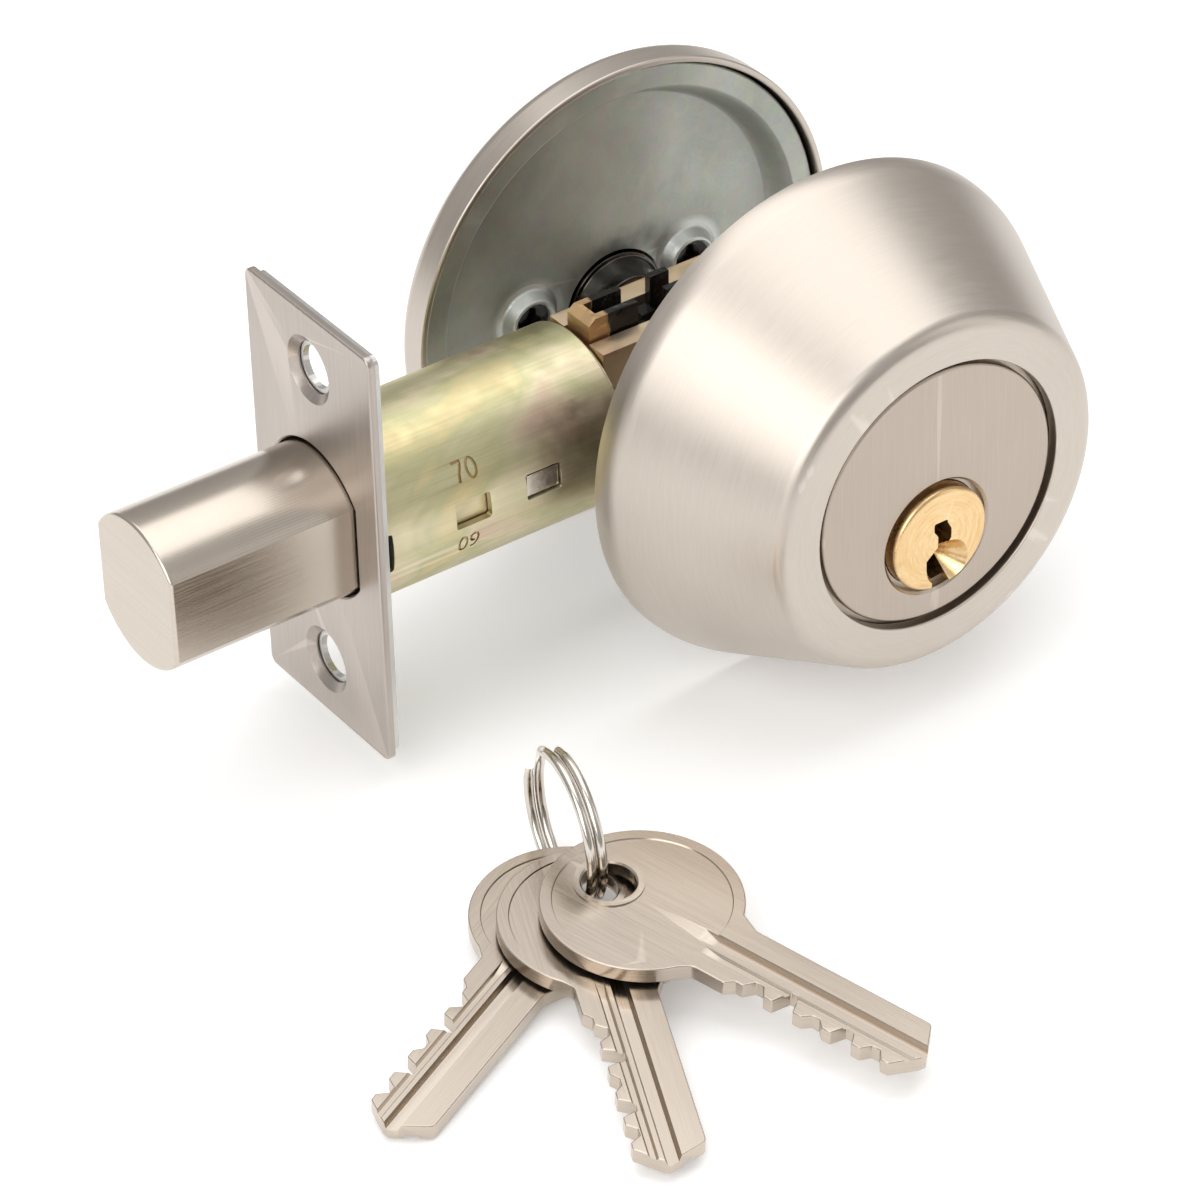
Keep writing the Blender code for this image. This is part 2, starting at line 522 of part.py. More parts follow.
def build_bolt():
    tip = -BACKSET - BOLT_THROW
    section = bolt_section(0.0, 14)
    bolt = make_object("bolt", prism(section, tip, BOLT_TAIL_X, "yz"), BOLT, "bolt_axis")
    pin_z = -5.0
    bore = [(0, tip + 5), (2.15, tip + 5), (2.15, BOLT_TAIL_X + 1), (0, BOLT_TAIL_X + 1)]
    cut(bolt, turned(bore, 20, (0, pin_z), "x"), "bolt_axis")
    rivet_hole = [(0, -61.0), (1.6, -61.0), (1.6, -50.0), (0, -50.0)]
    cut(bolt, turned(rivet_hole, SMALL_STEPS, (0, 4.0), "x"), "bolt_axis")
    pin = [(0, tip + 5.5), (2.05, tip + 5.5), (2.05, BOLT_TAIL_X - 0.4), (0, BOLT_TAIL_X - 0.4)]
    make_object("saw_guard_pin", turned(pin, 20, (0, pin_z), "x"), STEEL, "bolt_axis")

    pin_x = -PIN_ARM_R * math.sin(math.radians(45))
    rear, front, web = pin_x + 5.0, pin_x - 7.8, pin_x - 9.4
    side = [(BOLT_TAIL_X + 0.1, -2.0), (BOLT_TAIL_X + 1.7, -2.0), (BOLT_TAIL_X + 1.7, 5.4),
            (rear, 5.4), (rear, 13.6), (web + 1.0, 13.6), (web, 12.8), (web, 8.6),
            (BOLT_TAIL_X + 0.1, 8.6)]
    fork = make_object("bolt_tail", prism(side, -FORK_HALF, FORK_HALF, "xz"), BLACK_STEEL, "bolt_axis")
    inner = ARM_HALF_T + 0.2
    cut(fork, prism(rectangle(front, rear + 1, -inner, inner), 5, 15, "xy"), "bolt_axis")
    reach = DRIVE_PIN_R + 0.65
    notch_low = HUB_Z + PIN_ARM_R * math.cos(math.radians(45)) - 1.7
    notch = rectangle(pin_x - reach, pin_x + reach, notch_low, 15)
    cut(fork, prism(notch, -4, 4, "xz"), "bolt_axis")
    hole = [(0, -61.0), (1.6, -61.0), (1.6, -50.0), (0, -50.0)]
    cut(fork, turned(hole, SMALL_STEPS, (0, 4.0), "x"), "bolt_axis")
    shank_end, head = BOLT_TAIL_X + 1.8, BOLT_TAIL_X + 2.8
    rivet = [(0, -60.6), (1.55, -60.6), (1.55, shank_end), (2.1, shank_end), (1.7, head), (0, head)]
    cut(fork, turned([(0, shank_end - 0.1), (2.4, shank_end - 0.1), (2.4, head + 0.4),
                      (0, head + 0.4)], SMALL_STEPS, (0, 4.0), "x"), "bolt_axis")
    make_object("tail_rivet", turned(rivet, SMALL_STEPS, (0, 4.0), "x"), STEEL, "bolt_axis")


# ---------------------------------------------------------------- inside trim
def build_rose():
    """Rose shell and the dished plate inside it; both have their hole on the knob's axis."""
    centre = (ROSE_X, ROSE_Z)
    wall = ROSE_WALL
    outer = [(0, ROSE_BACK_Y), (ROSE_R - 3.6, ROSE_BACK_Y), (ROSE_R - 1.8, ROSE_BACK_Y - 0.3),
             (ROSE_R - 0.4, ROSE_RIM_Y + 5.2), (ROSE_R, ROSE_RIM_Y + 3.6), (ROSE_R, ROSE_RIM_Y)]
    inner = [(ROSE_R - wall, ROSE_RIM_Y), (ROSE_R - wall, ROSE_RIM_Y + 3.6),
             (ROSE_R - 2.4, ROSE_BACK_Y - wall - 0.5), (ROSE_R - 3.8, ROSE_BACK_Y - wall),
             (0, ROSE_BACK_Y - wall)]
    rose = make_object("rose_shell", turned(outer + inner, ROUND_STEPS, centre), SATIN)

    t = DISH_T
    front = [(0, DISH_Y), (DISH_SHOULDER_IN, DISH_Y), (DISH_SHOULDER_IN + 0.9, DISH_Y - 0.5),
             (DISH_SHOULDER_OUT - 0.9, DISH_RING_Y + 0.5), (DISH_SHOULDER_OUT, DISH_RING_Y),
             (DISH_R, DISH_RING_Y)]
    back = [(DISH_R, DISH_RING_Y + t), (DISH_SHOULDER_OUT + 0.4, DISH_RING_Y + t),
            (DISH_SHOULDER_IN + 0.6, DISH_Y + t), (0, DISH_Y + t)]
    dish = make_object("mounting_plate", turned(front + back, 48, centre), GALVANISED)
    for piece in (rose, dish):
        bore = [(0, DISH_Y - 4), (HUB_HOLE_R, DISH_Y - 4), (HUB_HOLE_R, ROSE_BACK_Y + 2),
                (0, ROSE_BACK_Y + 2)]
        cut(piece, turned(bore, 32, (0, HUB_Z)), solver="MANIFOLD")
    for sign in (-1, 1):
        place = (BOSS_CENTRE_X + sign * BOSS_X, BOSS_Z)
        boss = [(0, DISH_Y - BOSS_RISE), (BOSS_IN_R + 0.4, DISH_Y - BOSS_RISE),
                (BOSS_OUT_R, DISH_Y + 0.2), (BOSS_OUT_R, DISH_Y + 0.8), (0, DISH_Y + 0.8)]
        join(dish, turned(boss, 24, place), solver="MANIFOLD")
        through = [(0, DISH_Y - 4), (BOSS_IN_R, DISH_Y - 4), (BOSS_IN_R, DISH_Y + 3), (0, DISH_Y + 3)]
        cut(dish, turned(through, 24, place), solver="MANIFOLD")


def build_knob():
    base = [(0, KNOB_BASE_Y), (KNOB_BASE_R - 0.5, KNOB_BASE_Y), (KNOB_BASE_R, KNOB_BASE_Y + 0.5),
            (KNOB_BASE_R - 0.6, KNOB_BASE_Y + 2.6), (KNOB_BASE_R - 2.8, KNOB_BASE_Y + 4.2),
            (0, KNOB_BASE_Y + 5.0)]
    knob = make_object("turn_knob", turned(base, 36, (0, HUB_Z)), SATIN, "turn_axis")
    bm = bmesh.new()
    levels = ((KNOB_BASE_Y + 2.0, 0.55, 0.75), (KNOB_BASE_Y + 7.0, 0.72, 0.72),
              (KNOB_END_Y - 5.5, 1.0, 0.9), (KNOB_END_Y - 1.6, 0.98, 0.86), (KNOB_END_Y, 0.88, 0.6))
    rings = []
    for y, long_scale, thick_scale in levels:
        half_l, half_t = KNOB_LENGTH / 2 * long_scale, KNOB_THICK / 2 * thick_scale
        ring = (arc((half_l - half_t, HUB_Z), half_t, -90, 90, 9)
                + arc((-half_l + half_t, HUB_Z), half_t, 90, 270, 9))
        rings.append([bm.verts.new((x * MM, y * MM, z * MM)) for x, z in ring])
    for one, two in zip(rings, rings[1:]):
        for k in range(len(one)):
            n = (k + 1) % len(one)
            bm.faces.new((one[k], one[n], two[n], two[k]))
    bm.faces.new(rings[0])
    bm.faces.new(rings[-1])
    join(knob, bm, "turn_axis")
    socket = rectangle(-BLADE_T / 2 - 0.15, BLADE_T / 2 + 0.15, HUB_Z - BLADE_W / 2 - 0.15,
                       HUB_Z + BLADE_W / 2 + 0.15)
    cut(knob, prism(socket, KNOB_BASE_Y - 1, KNOB_BASE_Y + 4.0, "xz"), "turn_axis")

    flange_y = DISH_Y - 0.5
    profile = [(0, HUB_FRONT_Y), (HUB_FRONT_R - 0.5, HUB_FRONT_Y), (HUB_FRONT_R, HUB_FRONT_Y + 0.5),
               (HUB_FLANGE_R, flange_y), (HUB_FLANGE_R, KNOB_BASE_Y - GAP), (0, KNOB_BASE_Y - GAP)]
    hub = make_object("turn_hub", turned(profile, 32, (0, HUB_Z)), BLACK_CHROME, "turn_axis")
    cut(hub, prism(socket, HUB_FRONT_Y - 1, KNOB_BASE_Y + 1, "xz"), "turn_axis")

    washer = [(7.3, ROSE_BACK_Y + GAP), (10.4, ROSE_BACK_Y + GAP), (10.4, KNOB_BASE_Y - GAP),
              (7.3, KNOB_BASE_Y - GAP)]
    make_object("knob_washer", turned(washer, 32, (0, HUB_Z), closed=True), NYLON)


def build_tailpiece():
    """Flat blade from the cylinder through the cam into the knob."""
    start, end = PLUG_BACK_Y + 2.2, KNOB_BASE_Y + 3.4
    outline = rectangle(-BLADE_T / 2, BLADE_T / 2, HUB_Z - BLADE_W / 2, HUB_Z + BLADE_W / 2)
    make_object("tailpiece", prism(outline, start, end, "xz"), STEEL, "turn_axis")


# ---------------------------------------------------------------- keys
def key_outline():
    """Flat key: round bow at the origin, blade along +X, cuts on the -Y edge."""
    neck = math.degrees(math.asin(BLADE_STRAIGHT / BOW_R)) + 7
    bow = arc((0, 0), BOW_R, neck, 360 - neck - 3, 30)
    shoulder = BOW_R + 2.2
    cuts = [(shoulder, -5.2), (shoulder + 1.6, -5.2), (shoulder + 2.2, BLADE_CUT)]
    depths = (1.3, 2.4, 0.9, 1.9, 1.2)
    pitch = 4.0
    x = shoulder + 3.4
    for depth in depths:
        cuts += [(x, BLADE_CUT), (x + 0.9, BLADE_CUT + depth), (x + 1.9, BLADE_CUT + depth),
                 (x + 2.8, BLADE_CUT)]
        x += pitch
    tip = [(KEY_REACH - 2.6, BLADE_CUT), (KEY_REACH - 0.2, BLADE_CUT + 3.1), (KEY_REACH, -0.6),
           (KEY_REACH - 0.5, 0.3), (KEY_REACH - 3.0, BLADE_STRAIGHT)]
    return bow + cuts + tip + [(BOW_R + 1.0, BLADE_STRAIGHT)]


def build_keys():
    for name, (x, y, height, heading) in KEYS.items():
        key = make_object(name, prism(key_outline(), 0, KEY_T, "xy"), KEY_NICKEL)
        place = (Matrix.Translation(Vector((x, y, FLOOR_Z + height)) * MM)
                 @ Matrix.Rotation(KEY_TILT, 4, "X") @ Matrix.Rotation(heading, 4, "Z"))
        shift = Matrix.Translation(Vector((KEY_HOLE_BACK, 0, 0)) * MM)
        key.data.transform(shift)
        key.matrix_local = place
        guide_shapes = [prism(circle(KEY_HOLE_R, 20), -1, KEY_T + 1, "xy")]
        blade = KEY_HOLE_BACK + BOW_R - 2.0
        end = KEY_HOLE_BACK + KEY_REACH + 1
        guide_shapes.append(prism(rectangle(blade, end, 0.5, 2.0), KEY_T - 0.75, KEY_T + 1, "xy"))
        guide_shapes.append(prism(rectangle(blade, end, -1.9, -0.6), -1, 0.7, "xy"))
        for bm in guide_shapes:
            combine_under(key, bm, "DIFFERENCE", key, "EXACT")


def build_ring():
    """Split ring standing in the key holes: two turns side by side, crossing over between the ends."""
    per_turn, crossing, pitch = 28, 4, 2 * RING_WIRE + 0.15
    height = FLOOR_Z + RING_R + RING_WIRE + 0.05
    plane = Vector((math.cos(RING_HEADING), math.sin(RING_HEADING), 0))
    axis = Vector((-plane.y, plane.x, 0))
    centre = Vector((RING_CENTRE[0], RING_CENTRE[1], height))
    points = []
    for k in range(crossing // 2, 2 * per_turn - crossing // 2 + 1):
        a = 2 * math.pi * k / per_turn + RING_CROSSING
        done = min(max((k - per_turn + crossing / 2) / crossing, 0.0), 1.0)
        side = pitch * (done - 0.5)
        points.append(centre + plane * (RING_R * math.cos(a)) + Vector((0, 0, RING_R * math.sin(a)))
                      + axis * side)
    make_object("split_ring", swept(points, RING_WIRE, 6), STEEL)


# ---------------------------------------------------------------- assembly
def centre_on_floor():
    """Move the lock's frame so that the world origin is the middle of the finished footprint."""
    bpy.context.view_layer.update()
    graph = bpy.context.evaluated_depsgraph_get()
    low = Vector((math.inf,) * 3)
    high = Vector((-math.inf,) * 3)
    for part in bpy.data.objects:
        if part.type != "MESH" or part.hide_render:
            continue
        finished = part.evaluated_get(graph)
        for vertex in finished.data.vertices:
            point = finished.matrix_world @ vertex.co
            low = Vector(map(min, low, point))
            high = Vector(map(max, high, point))
    LOCK_FRAME.location = (-(low.x + high.x) / 2, -(low.y + high.y) / 2, -low.z)


def main():
    global LOCK_FRAME
    for old in list(bpy.data.objects):
        bpy.data.objects.remove(old, do_unlink=True)
    LOCK_FRAME = bpy.data.objects.new("lock_frame", None)
    bpy.context.scene.collection.objects.link(LOCK_FRAME)
    make_axis("turn_axis", (0, 0, HUB_Z))
    make_axis("plug_axis", (0, PLUG_FRONT_Y, HUB_Z))
    make_axis("bolt_axis", (-BACKSET, 0, 0))

    build_collar()
    build_housing()
    build_plug()
    build_pins()
    build_plug_back()
    build_faceplates()
    build_tube()
    build_case()
    build_cam()
    build_bolt()
    build_rose()
    build_knob()
    build_tailpiece()
    build_keys()
    build_ring()
    centre_on_floor()


main()
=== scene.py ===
import json
import math

import bmesh
import bpy
from mathutils import Matrix, Vector


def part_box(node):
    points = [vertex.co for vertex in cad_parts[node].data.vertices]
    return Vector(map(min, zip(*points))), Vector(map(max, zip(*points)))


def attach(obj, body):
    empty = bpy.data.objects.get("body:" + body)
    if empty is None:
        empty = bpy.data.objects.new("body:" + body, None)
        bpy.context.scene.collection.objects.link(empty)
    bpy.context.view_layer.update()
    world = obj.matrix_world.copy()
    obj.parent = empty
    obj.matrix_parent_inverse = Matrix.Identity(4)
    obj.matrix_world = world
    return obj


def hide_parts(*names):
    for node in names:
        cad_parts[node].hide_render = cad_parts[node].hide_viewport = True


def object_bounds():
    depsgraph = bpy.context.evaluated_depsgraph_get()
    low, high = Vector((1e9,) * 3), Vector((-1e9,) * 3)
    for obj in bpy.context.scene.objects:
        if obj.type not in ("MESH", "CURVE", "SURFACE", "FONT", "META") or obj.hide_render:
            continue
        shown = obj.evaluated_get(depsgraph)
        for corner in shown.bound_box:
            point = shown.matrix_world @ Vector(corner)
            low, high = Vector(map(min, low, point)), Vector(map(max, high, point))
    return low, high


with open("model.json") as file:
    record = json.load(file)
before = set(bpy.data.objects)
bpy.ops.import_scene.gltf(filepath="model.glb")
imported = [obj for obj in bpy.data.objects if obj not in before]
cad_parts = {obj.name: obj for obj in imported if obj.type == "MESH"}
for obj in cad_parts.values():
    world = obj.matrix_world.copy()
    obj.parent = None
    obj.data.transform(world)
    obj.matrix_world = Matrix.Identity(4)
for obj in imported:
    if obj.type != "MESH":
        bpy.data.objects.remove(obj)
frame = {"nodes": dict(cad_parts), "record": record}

cad_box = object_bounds()

# Fine meshes and finishes for a tubular deadbolt lock and its keys.  Lengths below are millimetres in the
# lock's own coordinates: X along the bolt, Y through the door, Z up, zero where the cam's turning axis
# crosses the middle plane of the bolt, at the height of the bolt's axis.
MM = 0.001
BACKSET = 60.0
BOLT_R, BOLT_FLAT = 9.8, 8.1
SHEET = 0.9
COLLAR_WALL, COLLAR_BACK_FILLET, COLLAR_FRONT_FILLET, COLLAR_FRONT_R = 1.6, 8.7, 2.5, 20.4
FACE_OPENING_R, FACE_R, FACE_SPIGOT_R = 17.8, 17.1, 15.9
PLUG_R, PLUG_STEM_R, PLUG_HOLE_R, PLUG_MOUTH_R, CHAMBER_R = 6.9, 6.2, 7.0, 7.55, 1.37
SCREW_SPACING, SCREW_HEAD_R, SCREW_HOLE_R = 41.6, 4.25, 2.75
WINDOW_X, WINDOW_Z, WINDOW_HALF = (-45.5, -35.4), 1.2, (2.5, 1.7)
STROKE, STAMP_DEPTH = 0.15, 0.22
TAIL_GOLD = 4.2
HUB_HOLE_R, HUB_FLANGE_R, BLADE_HALF = 7.3, 7.0, (1.25, 3.35)
DISH_SHOULDER_OUT, DISH_SHOULDER_IN = 27.3, 24.6
BOSS_X, BOSS_Z, BOSS_CENTRE_X, BOSS_FOOT_R, BOSS_HOLE_R = 12.3, -2.3, -1.2, 4.9, 2.6
KEY_T, BOW_R, KEY_HOLE_R, KEY_HOLE_BACK, KEY_REACH = 2.0, 11.8, 3.2, 4.8, 39.8
BLADE_STRAIGHT, BLADE_CUT, RIM_DEPTH = 3.9, -4.3, 0.17
KEY_TILT = math.radians(4.0)
KEY_HEADINGS = {1: math.radians(-73.4), 2: math.radians(-113.6), 3: math.radians(-154.9)}
RING_WIRE, RING_HEADING, RING_CROSSING = 0.6, math.radians(-101.6), math.radians(135)
CAMERA_YAW, CAMERA_PITCH, CAMERA_ROLL = -34.93, 35.90, -1.40
CAMERA_AT = (-320.5, -430.7, 350.6)
FOCAL_LENGTH = 156.0

plate_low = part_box("faceplate")[0]
bolt_low, bolt_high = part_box("bolt")
ORIGIN = Vector((plate_low.x + BACKSET * MM, (bolt_low.y + bolt_high.y) / 2, (bolt_low.z + bolt_high.z) / 2))


def span(node):
    """Lowest and highest corner of a CAD node, in lock millimetres."""
    low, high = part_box(node)
    return (low - ORIGIN) / MM, (high - ORIGIN) / MM


def middle(node):
    """Middle of a CAD node's box, in lock millimetres."""
    low, high = span(node)
    return (low + high) / 2


# ---------------------------------------------------------------- outlines
def arc(centre, radius, start, end, count):
    """Points along an arc between two angles in degrees."""
    angles = [math.radians(start + (end - start) * k / (count - 1)) for k in range(count)]
    return [(centre[0] + radius * math.cos(a), centre[1] + radius * math.sin(a)) for a in angles]


def softened(points, closed=True, count=6):
    """Replace each corner (u, v, radius) with a tangent arc; radius 0 keeps the corner."""
    result = []
    total = len(points)
    for k, (u, v, radius) in enumerate(points):
        here = Vector((u, v))
        if radius == 0 or (not closed and k in (0, total - 1)):
            result.append((u, v))
            continue
        before = (Vector(points[k - 1][:2]) - here).normalized()
        after = (Vector(points[(k + 1) % total][:2]) - here).normalized()
        half = math.acos(max(-1.0, min(1.0, before.dot(after)))) / 2
        reach = radius / math.tan(half)
        centre = here + (before + after).normalized() * (radius / math.sin(half))
        first = here + before * reach - centre
        last = here + after * reach - centre
        turn = math.atan2(first.x * last.y - first.y * last.x, first.dot(last))
        for step in range(count):
            spin = Matrix.Rotation(turn * step / (count - 1), 2)
            result.append(tuple(centre + spin @ first))
    return result


def rounded_rectangle(half_u, half_v, corner, count=8):
    """Counter-clockwise outline, given by half its sizes and its corner radius."""
    corners = [(half_u, -half_v), (half_u, half_v), (-half_u, half_v), (-half_u, -half_v)]
    return softened([(u, v, corner) for u, v in corners], count=count)


def double_d(radius, flat, count=40):
    """Circle cut by a flat above and a flat below, each at a distance from its middle."""
    half = math.degrees(math.acos(flat / radius))
    return arc((0, 0), radius, half, 180 - half, count) + arc((0, 0), radius, 180 + half, 360 - half, count)


def offset_outline(points, distance):
    """Move a counter-clockwise outline inwards by distance, corner by corner."""
    total = len(points)
    moved = []
    for k in range(total):
        here = Vector(points[k])
        one = (here - Vector(points[k - 1])).normalized()
        two = (Vector(points[(k + 1) % total]) - here).normalized()
        normal_one, normal_two = Vector((-one.y, one.x)), Vector((-two.y, two.x))
        mitre = normal_one + normal_two
        scale = 2.0 / max(mitre.length_squared, 1.0)
        moved.append(tuple(here + mitre * (scale * distance)))
    return moved


# ---------------------------------------------------------------- solids
PLANES = {
    "xy": lambda u, v, w: (u, v, w),
    "xz": lambda u, v, w: (u, w, v),
    "yz": lambda u, v, w: (w, u, v),
}


def new_piece(name, bm, at=(0, 0, 0)):
    """A mesh drawn in millimetres round its own origin, placed at a point of the lock."""
    bmesh.ops.recalc_face_normals(bm, faces=bm.faces)
    bmesh.ops.scale(bm, vec=(MM, MM, MM), verts=bm.verts)
    mesh = bpy.data.meshes.new(name)
    bm.to_mesh(mesh)
    bm.free()
    piece = bpy.data.objects.new(name, mesh)
    piece.location = ORIGIN + Vector(at) * MM
    bpy.context.scene.collection.objects.link(piece)
    return piece


def lathe(name, profile, at=(0, 0, 0), axis="y", steps=160, closed=False):
    """Turned solid; profile points are (radius, place along the axis), radius 0 is a pole."""
    place = PLANES[{"y": "xz", "z": "xy", "x": "yz"}[axis]]
    bm = bmesh.new()
    rings = []
    for radius, along in profile:
        count = 1 if radius == 0 else steps
        angles = [2 * math.pi * k / steps for k in range(count)]
        rings.append([bm.verts.new(place(radius * math.cos(a), radius * math.sin(a), along)) for a in angles])
    pairs = list(zip(rings, rings[1:]))
    if closed:
        pairs.append((rings[-1], rings[0]))
    for one, two in pairs:
        for k in range(steps):
            n = (k + 1) % steps
            corners = [one[k % len(one)], one[n % len(one)], two[n % len(two)], two[k % len(two)]]
            unique = list(dict.fromkeys(corners))
            if len(unique) > 2:
                bm.faces.new(unique)
    return new_piece(name, bm, at)


def loft(name, sections, at=(0, 0, 0), closed=False):
    """Skin through sections of equal point counts, capped at both ends unless it closes on itself."""
    bm = bmesh.new()
    rings = [[bm.verts.new(p) for p in section] for section in sections]
    pairs = list(zip(rings, rings[1:]))
    if closed:
        pairs.append((rings[-1], rings[0]))
    for one, two in pairs:
        count = len(one)
        for k in range(count):
            n = (k + 1) % count
            bm.faces.new((one[k], one[n], two[n], two[k]))
    if not closed:
        bm.faces.new(rings[0])
        bm.faces.new(rings[-1])
    return new_piece(name, bm, at)


def bar(name, outline, low, high, plane, at=(0, 0, 0), edge_low=0.0, edge_high=0.0, count=4):
    """Extrusion of an outline with its end edges rounded by edge_low and edge_high."""
    place = PLANES[plane]
    levels = []
    for edge, start, sign in ((edge_low, low, 1), (edge_high, high, -1)):
        steps = [(0.0, start)]
        if edge:
            angles = [math.pi / 2 * k / count for k in range(count + 1)]
            steps = [(edge * (1 - math.sin(a)), start + sign * edge * (1 - math.cos(a))) for a in angles]
        levels.append(steps)
    ordered = levels[0] + levels[1][::-1]
    sections = []
    for inset, level in ordered:
        ring = offset_outline(outline, inset) if inset > 1e-6 else outline
        sections.append([place(u, v, level) for u, v in ring])
    return loft(name, sections, at)


def freeze(piece):
    """Replace the piece's mesh with what its modifiers make of it."""
    graph = bpy.context.evaluated_depsgraph_get()
    mesh = bpy.data.meshes.new_from_object(piece.evaluated_get(graph))
    piece.modifiers.clear()
    old = piece.data
    piece.data = mesh
    bpy.data.meshes.remove(old)


def carve(piece, cutter, operation="DIFFERENCE"):
    """Cut one piece with another, or join them, and use the cutter up."""
    modifier = piece.modifiers.new("carve", "BOOLEAN")
    modifier.operation = operation
    modifier.solver = "EXACT"
    modifier.object = cutter
    freeze(piece)
    mesh = cutter.data
    bpy.data.objects.remove(cutter)
    bpy.data.meshes.remove(mesh)


def brush_direction(piece, along):
    """A UV map whose first axis runs along the brushing, for the shader's tangent."""
    layer = piece.data.uv_layers.new(name="brush")
    along = Vector(along).normalized()
    for polygon in piece.data.polygons:
        across = polygon.normal.cross(along)
        if across.length < 0.05:
            across = Vector((0.0, 1.0, 0.0)).cross(polygon.normal)
        across.normalize()
        for loop in polygon.loop_indices:
            co = piece.data.vertices[piece.data.loops[loop].vertex_index].co
            layer.data[loop].uv = (co.dot(along) * 50, co.dot(across) * 50)


def dress(piece, material, body, *nodes, sharp=32.0):
    """Smooth shading, the finish, the body it rides on and the CAD nodes it stands for."""
    piece.data.shade_smooth()
    piece.data.set_sharp_from_angle(angle=math.radians(sharp))
    weighted = piece.modifiers.new("face_weighted_normals", "WEIGHTED_NORMAL")
    weighted.keep_sharp = True
    piece.data.materials.clear()
    piece.data.materials.append(MATERIALS[material])
    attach(piece, body)
    if nodes:
        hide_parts(*nodes)
    return piece


# ---------------------------------------------------------------- node helpers
class Shader:
    """A Principled material with short calls for the nodes that feed it."""

    def __init__(self, name, **sockets):
        self.material = bpy.data.materials.new(name)
        self.material.use_nodes = True
        self.tree = self.material.node_tree
        self.surface = self.tree.nodes["Principled BSDF"]
        for socket, value in sockets.items():
            self.surface.inputs[socket.replace("_", " ")].default_value = value
        self.place = self.add("ShaderNodeTexCoord").outputs["Object"]

    def add(self, kind, inputs=(), **settings):
        node = self.tree.nodes.new(kind)
        for key, value in settings.items():
            setattr(node, key, value)
        for key, value in dict(inputs).items():
            if isinstance(value, bpy.types.NodeSocket):
                self.tree.links.new(value, node.inputs[key])
            else:
                node.inputs[key].default_value = value
        return node

    def math(self, operation, one, two=0.0):
        return self.add("ShaderNodeMath", {0: one, 1: two}, operation=operation).outputs[0]

    def across(self, one, two):
        """Length of a flat vector with these two parts."""
        squares = self.math("MULTIPLY", one, one), self.math("MULTIPLY", two, two)
        return self.math("SQRT", self.math("ADD", *squares))

    def scaled(self, scale, location=(0, 0, 0), vector=None):
        """Object coordinates, or another vector, times a different factor per axis."""
        source = self.place if vector is None else vector
        inputs = {"Vector": source, "Scale": scale, "Location": location}
        return self.add("ShaderNodeMapping", inputs).outputs[0]

    def noise(self, vector, detail=3.0, distortion=0.0, w=None):
        """Noise of a vector that already carries its scale, with a fourth axis where w is given."""
        inputs = {"Vector": vector, "Scale": 1.0, "Detail": detail, "Distortion": distortion}
        if w is not None:
            inputs["W"] = w
        node = self.add("ShaderNodeTexNoise", inputs, noise_dimensions="3D" if w is None else "4D")
        return node.outputs[0]

    def ramp(self, factor, *stops):
        """Colour ramp through (position, colour) stops."""
        node = self.add("ShaderNodeValToRGB", {0: factor})
        elements = node.color_ramp.elements
        while len(elements) < len(stops):
            elements.new(0.5)
        for element, (position, colour) in zip(elements, stops):
            element.position = position
            element.color = (*colour, 1.0)
        return node.outputs[0]

    def grey(self, factor, low, high, from_low=0.3, from_high=0.7):
        """Map from_low..from_high onto low..high, clamped."""
        inputs = {0: factor, 1: from_low, 2: from_high, 3: low, 4: high}
        return self.add("ShaderNodeMapRange", inputs).outputs[0]

    def mix(self, factor, one, two, blend="MIX"):
        node = self.add("ShaderNodeMix", data_type="RGBA", blend_type=blend)
        for index, value in ((0, factor), (6, one), (7, two)):
            if isinstance(value, bpy.types.NodeSocket):
                self.tree.links.new(value, node.inputs[index])
            else:
                node.inputs[index].default_value = (*value, 1.0) if isinstance(value, tuple) else value
        return node.outputs[2]

    def round_axis(self, axis, slow, fast):
        """Vector and W of a noise that runs round an axis in long lines, with no seam."""
        parts = self.add("ShaderNodeSeparateXYZ", {0: self.place}).outputs
        index = "XYZ".index(axis)
        flat = [parts[k] for k in range(3) if k != index]
        radius = self.across(*flat)
        safe = self.math("MAXIMUM", radius, 1e-6)
        around = [self.math("MULTIPLY", self.math("DIVIDE", part, safe), slow) for part in flat]
        along = self.math("MULTIPLY", parts[index], fast)
        vector = self.add("ShaderNodeCombineXYZ", {0: around[0], 1: around[1], 2: along}).outputs[0]
        return vector, self.math("MULTIPLY", radius, fast)

    def tangent(self, **settings):
        """Direction of the anisotropic highlight."""
        self.link("Tangent", self.add("ShaderNodeTangent", **settings).outputs[0])

    def link(self, socket, value):
        self.tree.links.new(value, self.surface.inputs[socket])

    def bump(self, height, distance):
        """Normal for a height of 0 to 1 that stands for a relief in metres."""
        return self.add("ShaderNodeBump", {"Height": height, "Distance": distance}).outputs[0]

    def edge_highlight(self, colour, lit_colour, amount=0.5):
        """Painted highlight: lighten the colour along convex edges."""
        edge = self.grey(self.add("ShaderNodeNewGeometry").outputs["Pointiness"], 0.0, amount, 0.53, 0.62)
        return self.mix(edge, colour, lit_colour)


def finish_brushed(shader, streak, fine, dark, light, rough, relief):
    """Colour, roughness and bump of a brushed face from a coarse and a fine streak noise."""
    both = shader.math("ADD", shader.math("MULTIPLY", streak, 0.3), shader.math("MULTIPLY", fine, 0.7))
    cloud = shader.noise(shader.scaled((60, 60, 60)), detail=2)
    colour = shader.ramp(shader.math("ADD", shader.math("MULTIPLY", both, 0.75),
                                     shader.math("MULTIPLY", cloud, 0.25)), (0.3, dark), (0.7, light))
    # Painted highlight: convex edges are lightened towards a brighter copy of the light tone.
    shader.link("Base Color", shader.edge_highlight(colour, tuple(min(c * 1.25, 0.95) for c in light)))
    shader.link("Roughness", shader.grey(both, rough - 0.03, rough + 0.05))
    shader.link("Normal", shader.bump(both, relief * MM))


